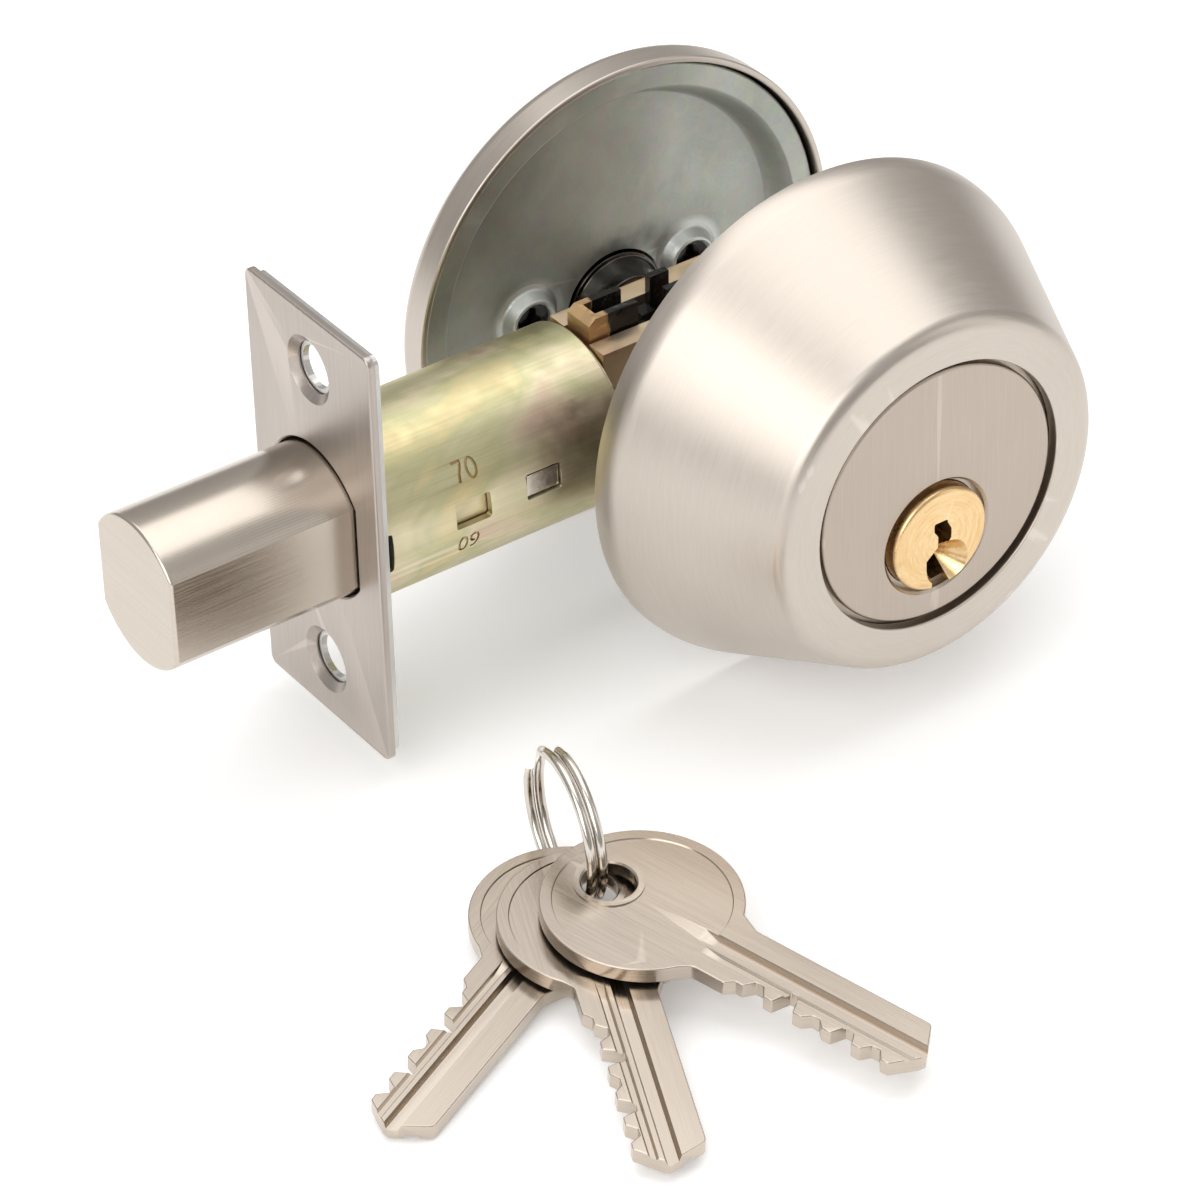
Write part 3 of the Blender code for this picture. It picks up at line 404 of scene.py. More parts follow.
def turned_metal(name, dark, light, rough):
    """Fine brushing in rings round the Y axis."""
    shader = Shader(name, Metallic=1.0, Anisotropic=0.45)
    vector, w = shader.round_axis("Y", 2.5, 2400)
    streak = shader.noise(vector, w=w, detail=3)
    vector, w = shader.round_axis("Y", 9.0, 7000)
    fine = shader.noise(vector, w=w, detail=2)
    finish_brushed(shader, streak, fine, dark, light, rough, 0.004)
    shader.tangent(direction_type="RADIAL", axis="Y")
    return shader.material


def brushed_metal(name, dark, light, rough, relief=0.005, anisotropic=0.35):
    """Straight brushing along the first axis of the piece's brush map."""
    shader = Shader(name, Metallic=1.0, Anisotropic=anisotropic)
    brush = shader.add("ShaderNodeUVMap", uv_map="brush").outputs[0]
    long_lines = shader.scaled((0.9, 60.0, 1.0), (3.3, 7.7, 0.4), brush)
    hair_lines = shader.scaled((3.0, 170.0, 1.0), (5.1, 2.9, 1.7), brush)
    streak = shader.noise(long_lines, detail=3)
    fine = shader.noise(hair_lines, detail=2)
    finish_brushed(shader, streak, fine, dark, light, rough, relief)
    shader.tangent(direction_type="UV_MAP", uv_map="brush")
    return shader.material


def yellow_zinc(name, *film_colours):
    """Clear drifting colours of a thin passivate film over fine drawing lines, with painted shade in hollows
    and a painted highlight on convex edges.
    """
    shader = Shader(name, Metallic=1.0)
    drift = shader.noise(shader.scaled((42, 85, 85)), detail=3, distortion=1.1)
    film = shader.ramp(drift, *zip((0.28, 0.40, 0.50, 0.60, 0.72), film_colours))
    lines = shader.noise(shader.scaled((60, 2600, 2600)), detail=3)
    patina = shader.noise(shader.scaled((500, 500, 500)), detail=4)
    toned = shader.mix(shader.grey(lines, 0.0, 0.3), film, tuple(c * 0.72 for c in film_colours[2]))
    # Painted shade: concave places (low pointiness) are mixed up to three quarters of the way to dark brown.
    hollow = shader.grey(shader.add("ShaderNodeNewGeometry").outputs["Pointiness"], 0.75, 0.0, 0.40, 0.49)
    toned = shader.mix(hollow, toned, (0.34, 0.19, 0.07))
    # Painted highlight: convex edges are lightened towards pale cream.
    shader.link("Base Color", shader.edge_highlight(toned, (0.85, 0.80, 0.62)))
    shader.link("Roughness", shader.grey(patina, 0.36, 0.50))
    shader.link("Normal", shader.bump(lines, 0.006 * MM))
    return shader.material


def galvanised():
    """Dull grey-green zinc with fine grain, faint spangle, soft darker patches round the hub, and painted
    highlights on the screw bosses and convex edges.
    """
    shader = Shader("galvanised", Metallic=0.85)
    grain = shader.noise(shader.scaled((2600, 2600, 2600)), detail=3)
    cloud = shader.noise(shader.scaled((70, 70, 70)), detail=4, distortion=0.5)
    spangle = shader.add("ShaderNodeTexVoronoi", {"Vector": shader.place, "Scale": 700.0}).outputs["Color"]
    tone = shader.ramp(cloud, (0.3, (0.37, 0.385, 0.345)), (0.7, (0.52, 0.54, 0.49)))
    tone = shader.mix(0.04, tone, spangle, "OVERLAY")
    parts = shader.add("ShaderNodeSeparateXYZ", {0: shader.place}).outputs
    # Painted highlight: the screw bosses are mixed towards a pale grey within about 5 mm of their axes.
    aside = shader.math("SUBTRACT", shader.math("ABSOLUTE", parts[0]), BOSS_X * MM)
    above = shader.math("SUBTRACT", parts[2], (BOSS_Z - middle("mounting_plate").z) * MM)
    boss = shader.grey(shader.across(aside, above), 0.9, 0.0, 4.6 * MM, 5.6 * MM)
    tone = shader.mix(boss, tone, (0.66, 0.68, 0.65))
    # Darker in noisy patches round the hub, fading out between 7 and 13 mm from its centre.
    hub = (middle("turn_hub") - middle("mounting_plate")) * MM
    from_hub = shader.math("SUBTRACT", parts[0], hub.x), shader.math("SUBTRACT", parts[2], hub.z)
    distance = shader.across(*from_hub)
    near = shader.grey(distance, 1.0, 0.0, 7.0 * MM, 13 * MM)
    patches = shader.noise(shader.scaled((170, 170, 170), (3.0, 0, 1.0)), detail=2)
    dark_patch = shader.math("MULTIPLY", near, shader.grey(patches, 0.0, 1.0, 0.5, 0.68))
    # Painted highlight: convex edges are lightened towards a pale grey-green.
    shader.link("Base Color", shader.edge_highlight(shader.mix(dark_patch, tone, (0.09, 0.10, 0.10)), (0.6, 0.62, 0.57)))
    shader.link("Roughness", shader.grey(grain, 0.40, 0.54))
    shader.link("Normal", shader.bump(grain, 0.008 * MM))
    return shader.material


def brass():
    """Turned brass: rings round the Y axis and a few darker stains."""
    shader = Shader("brass", Metallic=1.0, Anisotropic=0.3)
    vector, w = shader.round_axis("Y", 2.5, 3200)
    rings = shader.noise(vector, w=w, detail=3)
    dark_patch = shader.noise(shader.scaled((420, 420, 420)), detail=4)
    colour = shader.ramp(rings, (0.3, (0.70, 0.47, 0.22)), (0.7, (0.82, 0.60, 0.34)))
    colour = shader.mix(shader.grey(dark_patch, 0.0, 0.35, 0.62, 0.8), colour, (0.40, 0.25, 0.11))
    # Painted highlight: convex edges are lightened towards a pale gold.
    shader.link("Base Color", shader.edge_highlight(colour, (0.95, 0.78, 0.48)))
    shader.link("Roughness", shader.grey(dark_patch, 0.2, 0.34))
    shader.link("Normal", shader.bump(rings, 0.01 * MM))
    shader.tangent(direction_type="RADIAL", axis="Y")
    return shader.material


def lumpy_black(name, colour, metallic, rough, lump, coat, specular):
    """Blackened part under a film of grease: dark, glossy, with soft uneven highlights."""
    shader = Shader(name, Metallic=metallic, Coat_Weight=coat, Coat_Roughness=0.08,
                    Specular_IOR_Level=specular)
    lumps = shader.noise(shader.scaled((330, 330, 330)), detail=3, distortion=0.6)
    grain = shader.noise(shader.scaled((2500, 2500, 2500)), detail=2)
    tone = shader.ramp(lumps, (0.3, colour), (0.75, tuple(c * 1.8 for c in colour)))
    # Painted highlight: convex edges are lightened towards six times the base colour.
    shader.link("Base Color", shader.edge_highlight(tone, tuple(c * 6 for c in colour), 0.3))
    shader.link("Roughness", shader.grey(grain, rough - 0.03, rough + 0.05))
    shader.link("Normal", shader.bump(lumps, lump * MM))
    return shader.material


def dipped_tail():
    """Gold zinc at the rivet end, and a black fork end under a film of grease."""
    node = frame["nodes"]["bolt_tail"]
    seam = (node.matrix_world.inverted() @ Vector((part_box("latch_tube")[1][0] + TAIL_GOLD * MM, 0, 0))).x
    shader = Shader("dipped_tail")
    along = shader.add("ShaderNodeSeparateXYZ", {0: shader.place}).outputs[0]
    lumps = shader.noise(shader.scaled((330, 330, 330)), detail=3, distortion=0.6)
    ragged = shader.math("ADD", along, shader.math("MULTIPLY", lumps, 1.2 * MM))
    black = shader.grey(ragged, 0.0, 1.0, seam, seam + 0.5 * MM)
    drift = shader.noise(shader.scaled((42, 85, 85)), detail=3, distortion=1.1)
    gold = shader.ramp(drift, (0.35, (0.74, 0.42, 0.27)), (0.65, (0.66, 0.47, 0.24)))
    dark = shader.ramp(lumps, (0.3, (0.004, 0.0035, 0.003)), (0.75, (0.012, 0.010, 0.009)))
    shader.link("Base Color", shader.mix(black, gold, dark))
    shader.link("Metallic", shader.grey(black, 1.0, 0.0))
    shader.link("Roughness", shader.grey(black, 0.42, 0.2))
    shader.link("Normal", shader.bump(lumps, 0.3 * MM))
    return shader.material


def plain_metal(name, dark, light, rough, metallic=1.0):
    """Unbrushed metal or moulding: fine grain, a little drift in tone, a painted highlight on convex edges.
    """
    shader = Shader(name, Metallic=metallic)
    grain = shader.noise(shader.scaled((1800, 1800, 1800)), detail=3)
    cloud = shader.noise(shader.scaled((120, 120, 120)), detail=3)
    colour = shader.ramp(cloud, (0.3, dark), (0.7, light))
    # Painted highlight: convex edges are lightened towards a brighter copy of the light tone.
    shader.link("Base Color", shader.edge_highlight(colour, tuple(min(c * 1.25, 0.95) for c in light)))
    shader.link("Roughness", shader.grey(grain, rough - 0.05, rough + 0.07))
    shader.link("Normal", shader.bump(grain, 0.006 * MM))
    return shader.material


MATERIALS = {
    "satin_nickel": turned_metal("satin_nickel", (0.52, 0.465, 0.41), (0.59, 0.535, 0.475), 0.33),
    "face_nickel": brushed_metal("face_nickel", (0.43, 0.37, 0.315), (0.50, 0.435, 0.37), 0.36),
    "plate_nickel": brushed_metal("plate_nickel", (0.40, 0.355, 0.32), (0.52, 0.47, 0.43), 0.34),
    "bolt_nickel": brushed_metal("bolt_nickel", (0.50, 0.44, 0.375), (0.61, 0.55, 0.48), 0.22,
                                 relief=0.0025, anisotropic=0.2),
    "key_nickel": brushed_metal("key_nickel", (0.47, 0.405, 0.34), (0.55, 0.485, 0.415), 0.22,
                                relief=0.0015, anisotropic=0.15),
    "brass": brass(),
    "yellow_zinc": yellow_zinc("yellow_zinc", (0.72, 0.52, 0.42), (0.70, 0.62, 0.43), (0.55, 0.53, 0.31),
                               (0.70, 0.59, 0.33), (0.64, 0.64, 0.47)),
    # Darker copy of the yellow zinc for the inner sleeve: painted shade for its place inside the tube, seen
    # through the windows.
    "shaded_sleeve_zinc": yellow_zinc("shaded_sleeve_zinc", (0.50, 0.36, 0.20), (0.52, 0.42, 0.22), (0.44, 0.37, 0.18),
                               (0.54, 0.42, 0.20), (0.48, 0.42, 0.25)),
    "rail_zinc": yellow_zinc("rail_zinc", (0.76, 0.38, 0.24), (0.76, 0.47, 0.27), (0.66, 0.43, 0.22),
                             (0.80, 0.42, 0.30), (0.66, 0.42, 0.24)),
    "galvanised": galvanised(),
    "black_steel": lumpy_black("black_steel", (0.004, 0.0035, 0.003), 0.0, 0.2, 0.3, 0.3, 0.25),
    "dipped_tail": dipped_tail(),
    "black_chrome": lumpy_black("black_chrome", (0.06, 0.054, 0.05), 1.0, 0.08, 0.08, 0.2, 0.5),
    "plain_steel": plain_metal("plain_steel", (0.40, 0.39, 0.37), (0.58, 0.57, 0.55), 0.34),
    "ring_steel": plain_metal("ring_steel", (0.56, 0.52, 0.47), (0.72, 0.68, 0.62), 0.14),
    # Lighter copy of the bolt's nickel for the backset catch: painted highlight, so the catch reads bright in
    # its window where it reflects dark.
    "lit_catch_nickel": plain_metal("lit_catch_nickel", (0.60, 0.54, 0.48), (0.76, 0.71, 0.65), 0.22),
    "nylon": plain_metal("nylon", (0.72, 0.70, 0.64), (0.80, 0.78, 0.72), 0.5, metallic=0.0),
}


# ---------------------------------------------------------------- key side
def collar_line(inset, radius, back_y, front_y):
    """Outer line of the collar from the door rim to the flat front ring, moved in by inset."""
    slope = math.atan2(radius - COLLAR_FRONT_R - 2.0, back_y - front_y)
    back, front = COLLAR_BACK_FILLET - inset, max(COLLAR_FRONT_FILLET - inset, 0.6)
    centre_r = radius - COLLAR_BACK_FILLET
    points = [(centre_r + back * math.cos(slope * k / 24), back_y - back * math.sin(slope * k / 24))
              for k in range(25)]
    line_r, line_y = points[-1]
    front_y = front_y + inset + front
    edge_y = front_y - front * math.sin(slope)
    centre_front = line_r - (line_y - edge_y) * math.tan(slope) - front * math.cos(slope)
    for k in range(13):
        a = slope + (math.pi / 2 - slope) * k / 12
        points.append((centre_front + front * math.cos(a), front_y - front * math.sin(a)))
    return points


def build_collar():
    """Hollow tapered collar whose rim turns in towards the face."""
    low, high = span("outer_collar")
    centre = (low + high) / 2
    radius = (high.x - low.x) / 2
    outer = collar_line(0.0, radius, high.y, low.y)
    inner = [p for p in collar_line(COLLAR_WALL, radius, high.y, low.y) if p[0] > FACE_OPENING_R + 0.4]
    lip = softened([(outer[-1][0], low.y, 0), (FACE_OPENING_R, low.y, 0.25),
                    (FACE_OPENING_R, low.y + COLLAR_WALL, 0.2), (inner[-1][0], low.y + COLLAR_WALL, 0)],
                   closed=False)
    collar = lathe("collar_shell", outer + lip[1:-1] + inner[::-1], (centre.x, 0, centre.z), steps=224,
                   closed=True)
    dress(collar, "satin_nickel", "lock_body", "outer_collar")


def build_face():
    """Face disc and the cylinder body behind it, bored for the plug and the pin stacks."""
    low, high = span("cylinder_housing")
    collar_low, _ = span("outer_collar")
    centre = middle("outer_collar")
    flange = collar_low.y + COLLAR_WALL + 0.3
    profile = softened([(0, low.y, 0), (FACE_R, low.y, 0.45), (FACE_R, flange, 0), (FACE_R + 1.5, flange, 0),
                        (FACE_R + 1.5, flange + 1.8, 0.2), (FACE_SPIGOT_R, flange + 1.8, 0),
                        (FACE_SPIGOT_R, high.y, 0.3), (0, high.y, 0)], closed=False)
    face = lathe("cylinder_face", profile, (centre.x, 0, centre.z), steps=192)
    axis = middle("key_plug")
    bore = [(0, low.y - 1), (PLUG_MOUTH_R + 0.35, low.y - 1), (PLUG_MOUTH_R + 0.35, low.y),
            (PLUG_MOUTH_R, low.y + 0.3), (PLUG_MOUTH_R, low.y + 1.2), (PLUG_HOLE_R, low.y + 1.2),
            (PLUG_HOLE_R, high.y + 1), (0, high.y + 1)]
    carve(face, lathe("bore", bore, (axis.x, 0, axis.z), steps=96))
    for number in range(1, 6):
        stack = middle(f"driver_pin_{number}")
        chamber = [(0, axis.z + 4), (CHAMBER_R, axis.z + 4), (CHAMBER_R, FACE_SPIGOT_R), (0, FACE_SPIGOT_R)]
        carve(face, lathe("chamber", chamber, (stack.x, stack.y, 0), axis="z", steps=24))
    cover_low, cover_high = span("pin_cover")
    slot = bar("slot", [(-2.3, cover_low.y - 0.3), (2.3, cover_low.y - 0.3), (2.3, cover_high.y + 0.3),
                        (-2.3, cover_high.y + 0.3)], cover_low.z - 0.05, 21, "xy")
    carve(face, slot)
    brush_direction(face, (0, 0, 1))
    dress(face, "face_nickel", "lock_body", "cylinder_housing")


def keyway(top):
    """Warded slot section, open at its lower end."""
    left = [(-1.4, -9.0), (-1.3, -5.2), (-2.2, -3.7), (-2.2, -2.3), (-0.5, -0.9), (-0.5, 0.6), (-1.1, 1.5),
            (-1.1, top)]
    right = [(0.9, top), (0.9, 2.2), (1.5, 1.1), (1.5, -0.2), (0.4, -1.7), (0.4, -3.0), (1.5, -4.3),
             (1.5, -9.0)]
    return softened([(u, v, 0.22) for u, v in reversed(left + right)], count=4)


def build_plug():
    """Plug with its keyway, the scoop in its mouth and the five pin chambers."""
    low, high = span("key_plug")
    axis = middle("key_plug")
    shoulder = high.y - 1.2
    profile = softened([(0, low.y, 0), (PLUG_R, low.y, 0.55), (PLUG_R, shoulder, 0),
                        (PLUG_STEM_R, shoulder, 0), (PLUG_STEM_R, high.y, 0.2), (0, high.y, 0)],
                       closed=False, count=7)
    plug = lathe("plug", profile, (axis.x, 0, axis.z), steps=128)
    carve(plug, bar("keyway", keyway(2.6), low.y - 1, high.y - 3.2, "xz", (axis.x, 0, axis.z)))
    scoop = [(0, low.y - 0.5), (3.5, low.y - 0.5), (3.1, low.y), (0.7, low.y + 3.4), (0, low.y + 3.4)]
    carve(plug, lathe("scoop", scoop, (axis.x + 0.95, 0, axis.z - 3.7), steps=48))
    for number in range(1, 6):
        stack = middle(f"key_pin_{number}")
        chamber = [(0, 0.5), (CHAMBER_R, 0.5), (CHAMBER_R, 9), (0, 9)]
        carve(plug, lathe("chamber", chamber, (stack.x, stack.y, axis.z), axis="z", steps=24))
    dress(plug, "brass", "plug_train", "key_plug")


# ---------------------------------------------------------------- latch
def build_faceplate():
    """Front plate with the bolt's opening and two countersunk holes."""
    low, high = span("faceplate")
    outline = rounded_rectangle((high.y - low.y) / 2, (high.z - low.z) / 2, 1.2)
    plate = bar("front_plate", outline, low.x, high.x, "yz", edge_low=0.28, edge_high=0.1)
    opening = double_d(BOLT_R + 0.35, BOLT_FLAT + 0.35)
    wide = double_d(BOLT_R + 0.55, BOLT_FLAT + 0.55)
    sections = [[(x, y, z) for y, z in ring]
                for x, ring in ((low.x - 1, wide), (low.x, wide), (low.x + 0.2, opening),
                                (high.x + 1, opening))]
    carve(plate, loft("opening", sections))
    for side in (-1, 1):
        sink = [(0, low.x - 0.5), (SCREW_HEAD_R + 0.25, low.x - 0.5), (SCREW_HEAD_R + 0.12, low.x),
                (SCREW_HEAD_R, low.x + 0.12), (SCREW_HOLE_R + 0.75, high.x - 0.3),
                (SCREW_HOLE_R + 0.6, high.x - 0.2), (SCREW_HOLE_R + 0.5, high.x + 0.3), (0, high.x + 0.3)]
        carve(plate, lathe("sink", sink, (0, 0, side * SCREW_SPACING / 2), axis="x", steps=72))
    brush_direction(plate, (0, 0, 1))
    dress(plate, "plate_nickel", "lock_body", "faceplate")


def build_bolt():
    """Bolt with the bores for the saw-guard pin and for the tail's rivet."""
    low, high = span("bolt")
    section = double_d(BOLT_R, BOLT_FLAT, 56)
    bolt = bar("bolt_bar", section, low.x, high.x, "yz", edge_low=0.45, edge_high=0.1, count=6)
    pin = middle("saw_guard_pin")
    bore = [(0, low.x + 5), (2.15, low.x + 5), (2.15, high.x + 1), (0, high.x + 1)]
    carve(bolt, lathe("pin_bore", bore, (0, pin.y, pin.z), axis="x", steps=40))
    rivet = middle("tail_rivet")
    bottom = -BACKSET - 1
    hole = [(0, bottom), (1.6, bottom), (1.6, high.x + 1), (0, high.x + 1)]
    carve(bolt, lathe("rivet_bore", hole, (0, rivet.y, rivet.z), axis="x", steps=32))
    brush_direction(bolt, (1, 0, 0))
    dress(bolt, "bolt_nickel", "bolt_train", "bolt")


def stroke(points, closed):
    """Outline pairs either side of a pen line: the inner and the outer edge of one stroke."""
    total = len(points)
    edges = []
    for k, point in enumerate(points):
        here = Vector(point)
        before = Vector(points[k - 1]) if closed or k else here
        after = Vector(points[(k + 1) % total]) if closed or k < total - 1 else here
        along = (after - before).normalized()
        side = Vector((-along.y, along.x)) * STROKE / 2
        edges.append((here - side, here + side))
    return edges


def stamped_figures():
    """Pen lines of the figures 0, 6 and 7 in a box one unit high, and whether each is a loop."""
    ring = arc((0, 0), 1.0, 0, 342, 20)
    return {
        "7": ([(-0.24, 0.5), (0.24, 0.5), (0.2, 0.34), (0.02, -0.1), (-0.06, -0.5)], False),
        "0": ([(0.25 * u, 0.48 * v) for u, v in ring], True),
        "6": ([(0.2, 0.46), (-0.02, 0.4), (-0.2, 0.14), (-0.25, -0.2), (-0.16, -0.42), (0.04, -0.5),
               (0.22, -0.38), (0.25, -0.18), (0.14, 0.0), (-0.03, 0.03)], False),
    }


def stamp(tube, text, x, angle, size, radius, upside_down=False):
    """Cut plain figures into a tube round X, side by side about x at an angle above level."""
    turn = -1 if upside_down else 1
    for index, figure in enumerate(text):
        points, closed = stamped_figures()[figure]
        shift = (index - (len(text) - 1) / 2) * 0.72
        sections = []
        for pair in stroke(points, closed):
            corners = []
            for edge, reach in ((0, -STAMP_DEPTH), (1, -STAMP_DEPTH), (1, STAMP_DEPTH), (0, STAMP_DEPTH)):
                a = math.radians(angle) + turn * size * pair[edge].y / radius
                u = x + turn * size * (pair[edge].x + shift)
                corners.append((u, -(radius + reach) * math.cos(a), (radius + reach) * math.sin(a)))
            sections.append(corners)
        carve(tube, loft("figure", sections, closed=closed))


def build_tube():
    """Tube of the latch: two windows through both walls, a slit at the front, plain stamped figures."""
    low, high = span("latch_tube")
    radius = (high.z - low.z) / 2
    profile = softened([(radius, low.x, 0.1), (radius, high.x, 0.3), (radius - SHEET, high.x, 0.2),
                        (radius - SHEET, low.x, 0.1)], count=5)
    tube = lathe("tube_shell", profile, axis="x", steps=192, closed=True)
    window = rounded_rectangle(*WINDOW_HALF, 0.35, count=5)
    slit = rounded_rectangle(1.1, 2.6, 0.3, count=4)
    for x in WINDOW_X:
        carve(tube, bar("window", window, -13, 13, "xz", (x, 0, WINDOW_Z)))
    carve(tube, bar("slit", slit, -13, -9, "xz", (low.x, 0, 0)))
    stamp(tube, "70", WINDOW_X[0], 32.0, 2.5, radius)
    stamp(tube, "60", WINDOW_X[0] - 0.7, -15.0, 2.2, radius, upside_down=True)
    dress(tube, "yellow_zinc", "lock_body", "latch_tube")


# ---------------------------------------------------------------- room side
def hub_bore(piece, low, high):
    """Bore a piece for the turning hub."""
    hub = middle("turn_hub")
    hole = [(0, low), (HUB_HOLE_R, low), (HUB_HOLE_R, high), (0, high)]
    carve(piece, lathe("hub_bore", hole, (hub.x, 0, hub.z), steps=96))


def build_rose():
    """Room-side cup behind the mounting plate."""
    low, high = span("rose_shell")
    centre = middle("rose_shell")
    radius = (high.x - low.x) / 2
    outer = [(0, high.y, 0), (radius - 2.6, high.y, 4.0), (radius, high.y - 2.6, 2.2), (radius, low.y, 0.3)]
    inner = [(radius - SHEET, low.y, 0.25), (radius - SHEET, high.y - 2.6, 1.6),
             (radius - 3.4, high.y - SHEET, 2.4), (0, high.y - SHEET, 0)]
    rose = lathe("rose_cup", softened(outer + inner, closed=False, count=10), (centre.x, 0, centre.z),
                 steps=224)
    hub_bore(rose, high.y - 3, high.y + 2)
    dress(rose, "satin_nickel", "lock_body", "rose_shell")


def build_dish():
    """Dished mounting plate with two conical screw bosses."""
    low, high = span("mounting_plate")
    centre = middle("mounting_plate")
    radius = (high.x - low.x) / 2
    ring, floor, sheet = low.y, high.y - 1.0, 1.0
    slope = [(DISH_SHOULDER_OUT + (DISH_SHOULDER_IN - DISH_SHOULDER_OUT) * k / 14,
              ring + (floor - ring) * (0.5 - 0.5 * math.cos(math.pi * k / 14))) for k in range(15)]
    edge = softened([(DISH_SHOULDER_OUT, ring, 0), (radius, ring, 0.4), (radius, ring + sheet, 0.3),
                     (DISH_SHOULDER_OUT, ring + sheet, 0)], closed=False)
    back = [(r + 0.15, y + sheet) for r, y in slope]
    profile = [(0, floor)] + slope[::-1] + edge[1:-1] + back + [(0, floor + sheet)]
    dish = lathe("dish_plate", profile, (centre.x, 0, centre.z), steps=224)
    hub_bore(dish, floor - 3, high.y + 2)
    for sign in (-1, 1):
        at = (BOSS_CENTRE_X + sign * BOSS_X, 0, BOSS_Z)
        boss = softened([(0, floor - 2.0, 0), (3.25, floor - 2.0, 0.45), (4.0, floor - 0.3, 0.7),
                         (BOSS_FOOT_R, floor + 0.1, 0), (BOSS_FOOT_R, floor + 0.6, 0),
                         (0, floor + 0.6, 0)], closed=False)
        carve(dish, lathe("boss", boss, at, steps=72), "UNION")
        hole = softened([(0, floor - 3, 0), (3.1, floor - 3, 0), (3.0, floor - 2.05, 0),
                         (BOSS_HOLE_R, floor - 1.5, 0.3), (BOSS_HOLE_R, floor + 3, 0),
                         (0, floor + 3, 0)], closed=False)
        carve(dish, lathe("boss_hole", hole, at, steps=72))
    dress(dish, "galvanised", "lock_body", "mounting_plate", sharp=17.0)


def build_insert(number, x):
    """Blackened threaded insert that takes a clamping screw, seen through a boss."""
    _, high = span("mounting_plate")
    mouth, end, pitch = high.y - 2.0, high.y - 0.15, 0.35
    threads = []
    y = mouth + 0.1
    while y < end - pitch - 0.3:
        threads += [(1.95, y), (1.7, y + pitch / 2)]
        y += pitch
    profile = [(2.5, mouth), (2.5, end), (0, end), (0, end - 0.3), (1.7, end - 0.3)] + threads[::-1]
    insert = lathe(f"screw_insert_{number}", profile, (x, 0, BOSS_Z), steps=48, closed=True)
    dress(insert, "black_steel", "lock_body")


def build_hub():
    """Cone that carries the knob's turn to the blade."""
    low, high = span("turn_hub")
    centre = middle("turn_hub")
    flange = low.y + 3.5
    profile = softened([(0, low.y, 0), (5.4, low.y, 0.35), (6.5, flange, 0.3), (HUB_FLANGE_R, flange, 0.15),
                        (HUB_FLANGE_R, high.y, 0.2), (0, high.y, 0)], closed=False, count=5)
    hub = lathe("hub_cone", profile, (centre.x, 0, centre.z), steps=96)
    slot = rounded_rectangle(*BLADE_HALF, 0.3, count=4)
    carve(hub, bar("blade_slot", slot, low.y - 1, high.y + 1, "xz", (centre.x, 0, centre.z)))
    dress(hub, "black_chrome", "turn_train", "turn_hub")


def build_knob():
    """Thumb turn: a round base and a wing that flares and closes in a soft edge."""
    low, high = span("turn_knob")
    centre = middle("turn_knob")
    base = softened([(0, low.y, 0), (11.5, low.y, 0.4), (11.3, low.y + 2.2, 1.2), (8.6, low.y + 4.1, 2.5),
                     (0, low.y + 5.0, 0)], closed=False, count=8)
    knob = lathe("thumb_turn", base, (centre.x, 0, centre.z), steps=128)
    half_long, half_thick, edge, flare_height = (high.x - low.x) / 2, 4.0, 1.8, 12.0
    sections = []
    levels = 30
    start, end = low.y + 2.0, high.y
    for k in range(levels):
        t = k / (levels - 1)
        y = start + (end - start) * (1 - (1 - t) ** 1.5)
        rise = min((y - start) / flare_height, 1.0)
        flare = 0.56 + 0.44 * rise * rise * (3 - 2 * rise)
        close = max(0.0, (y - (end - edge)) / edge)
        shrink = edge * (1 - math.sqrt(max(0.0, 1 - close * close)))
        half_l = half_long * flare - shrink
        half_t = half_thick * (0.72 + 0.2 * rise) - shrink
        ring = arc((half_l - half_t, 0), half_t, -90, 90, 17) + arc((half_t - half_l, 0), half_t, 90, 270, 17)
        sections.append([(u, y, v) for u, v in ring])
    carve(knob, loft("wing", sections, (centre.x, 0, centre.z)), "UNION")
    socket = rounded_rectangle(*BLADE_HALF, 0.3, count=4)
    carve(knob, bar("socket", socket, low.y - 1, low.y + 4.0, "xz", (centre.x, 0, centre.z)))
    dress(knob, "satin_nickel", "turn_train", "turn_knob")


# ---------------------------------------------------------------- keys
def key_outline():
    """Round bow at the origin, blade along +X, cuts on the -Y edge; counter-clockwise."""
    neck_low, neck_high = -33.0, 26.0
    bow = arc((0, 0), BOW_R, neck_high, 360 + neck_low, 72)
    shoulder = BOW_R + 2.2
    corners = [(BOW_R - 0.6, -5.3, 0.8), (shoulder + 1.4, -5.3, 0.35), (shoulder + 2.4, BLADE_CUT, 0.3)]
    x = shoulder + 3.4
    for depth in (1.3, 2.4, 0.9, 1.9, 1.2):
        corners += [(x, BLADE_CUT, 0.18), (x + 0.9, BLADE_CUT + depth, 0.2),
                    (x + 1.9, BLADE_CUT + depth, 0.2), (x + 2.8, BLADE_CUT, 0.18)]
        x += 4.0
    corners += [(KEY_REACH - 2.6, BLADE_CUT, 0.3), (KEY_REACH - 0.3, BLADE_CUT + 2.9, 0.4),
                (KEY_REACH, -0.6, 0.25), (KEY_REACH - 0.5, 0.4, 0.3), (KEY_REACH - 2.4, BLADE_STRAIGHT, 0.9),
                (BOW_R + 1.5, BLADE_STRAIGHT, 1.6)]
    return bow + softened([(*bow[-1], 0)] + corners + [(*bow[0], 0)], closed=False, count=4)[1:-1]


def key_groove(name, centre_y, half_top, half_bottom, depth, top, start):
    """Long milled groove with sloped sides that runs out where the cutter rose."""
    sign = 1 if top else -1
    surface = KEY_T if top else 0.0
    sections = []
    for x, sink in ((start - 1.2, -0.02), (start, 0.5 * depth), (start + 1.5, depth), (KEY_REACH + 2, depth)):
        floor = surface - sign * sink
        lift = surface + sign * 0.6
        widen = half_top + (half_top - half_bottom) * 0.6 / depth
        half_floor = half_top + (half_bottom - half_top) * max(sink, 0.0) / depth
        sections.append([(x, centre_y - widen, lift), (x, centre_y - half_floor, floor),
                         (x, centre_y + half_floor, floor), (x, centre_y + widen, lift)])
    return loft(name, sections)


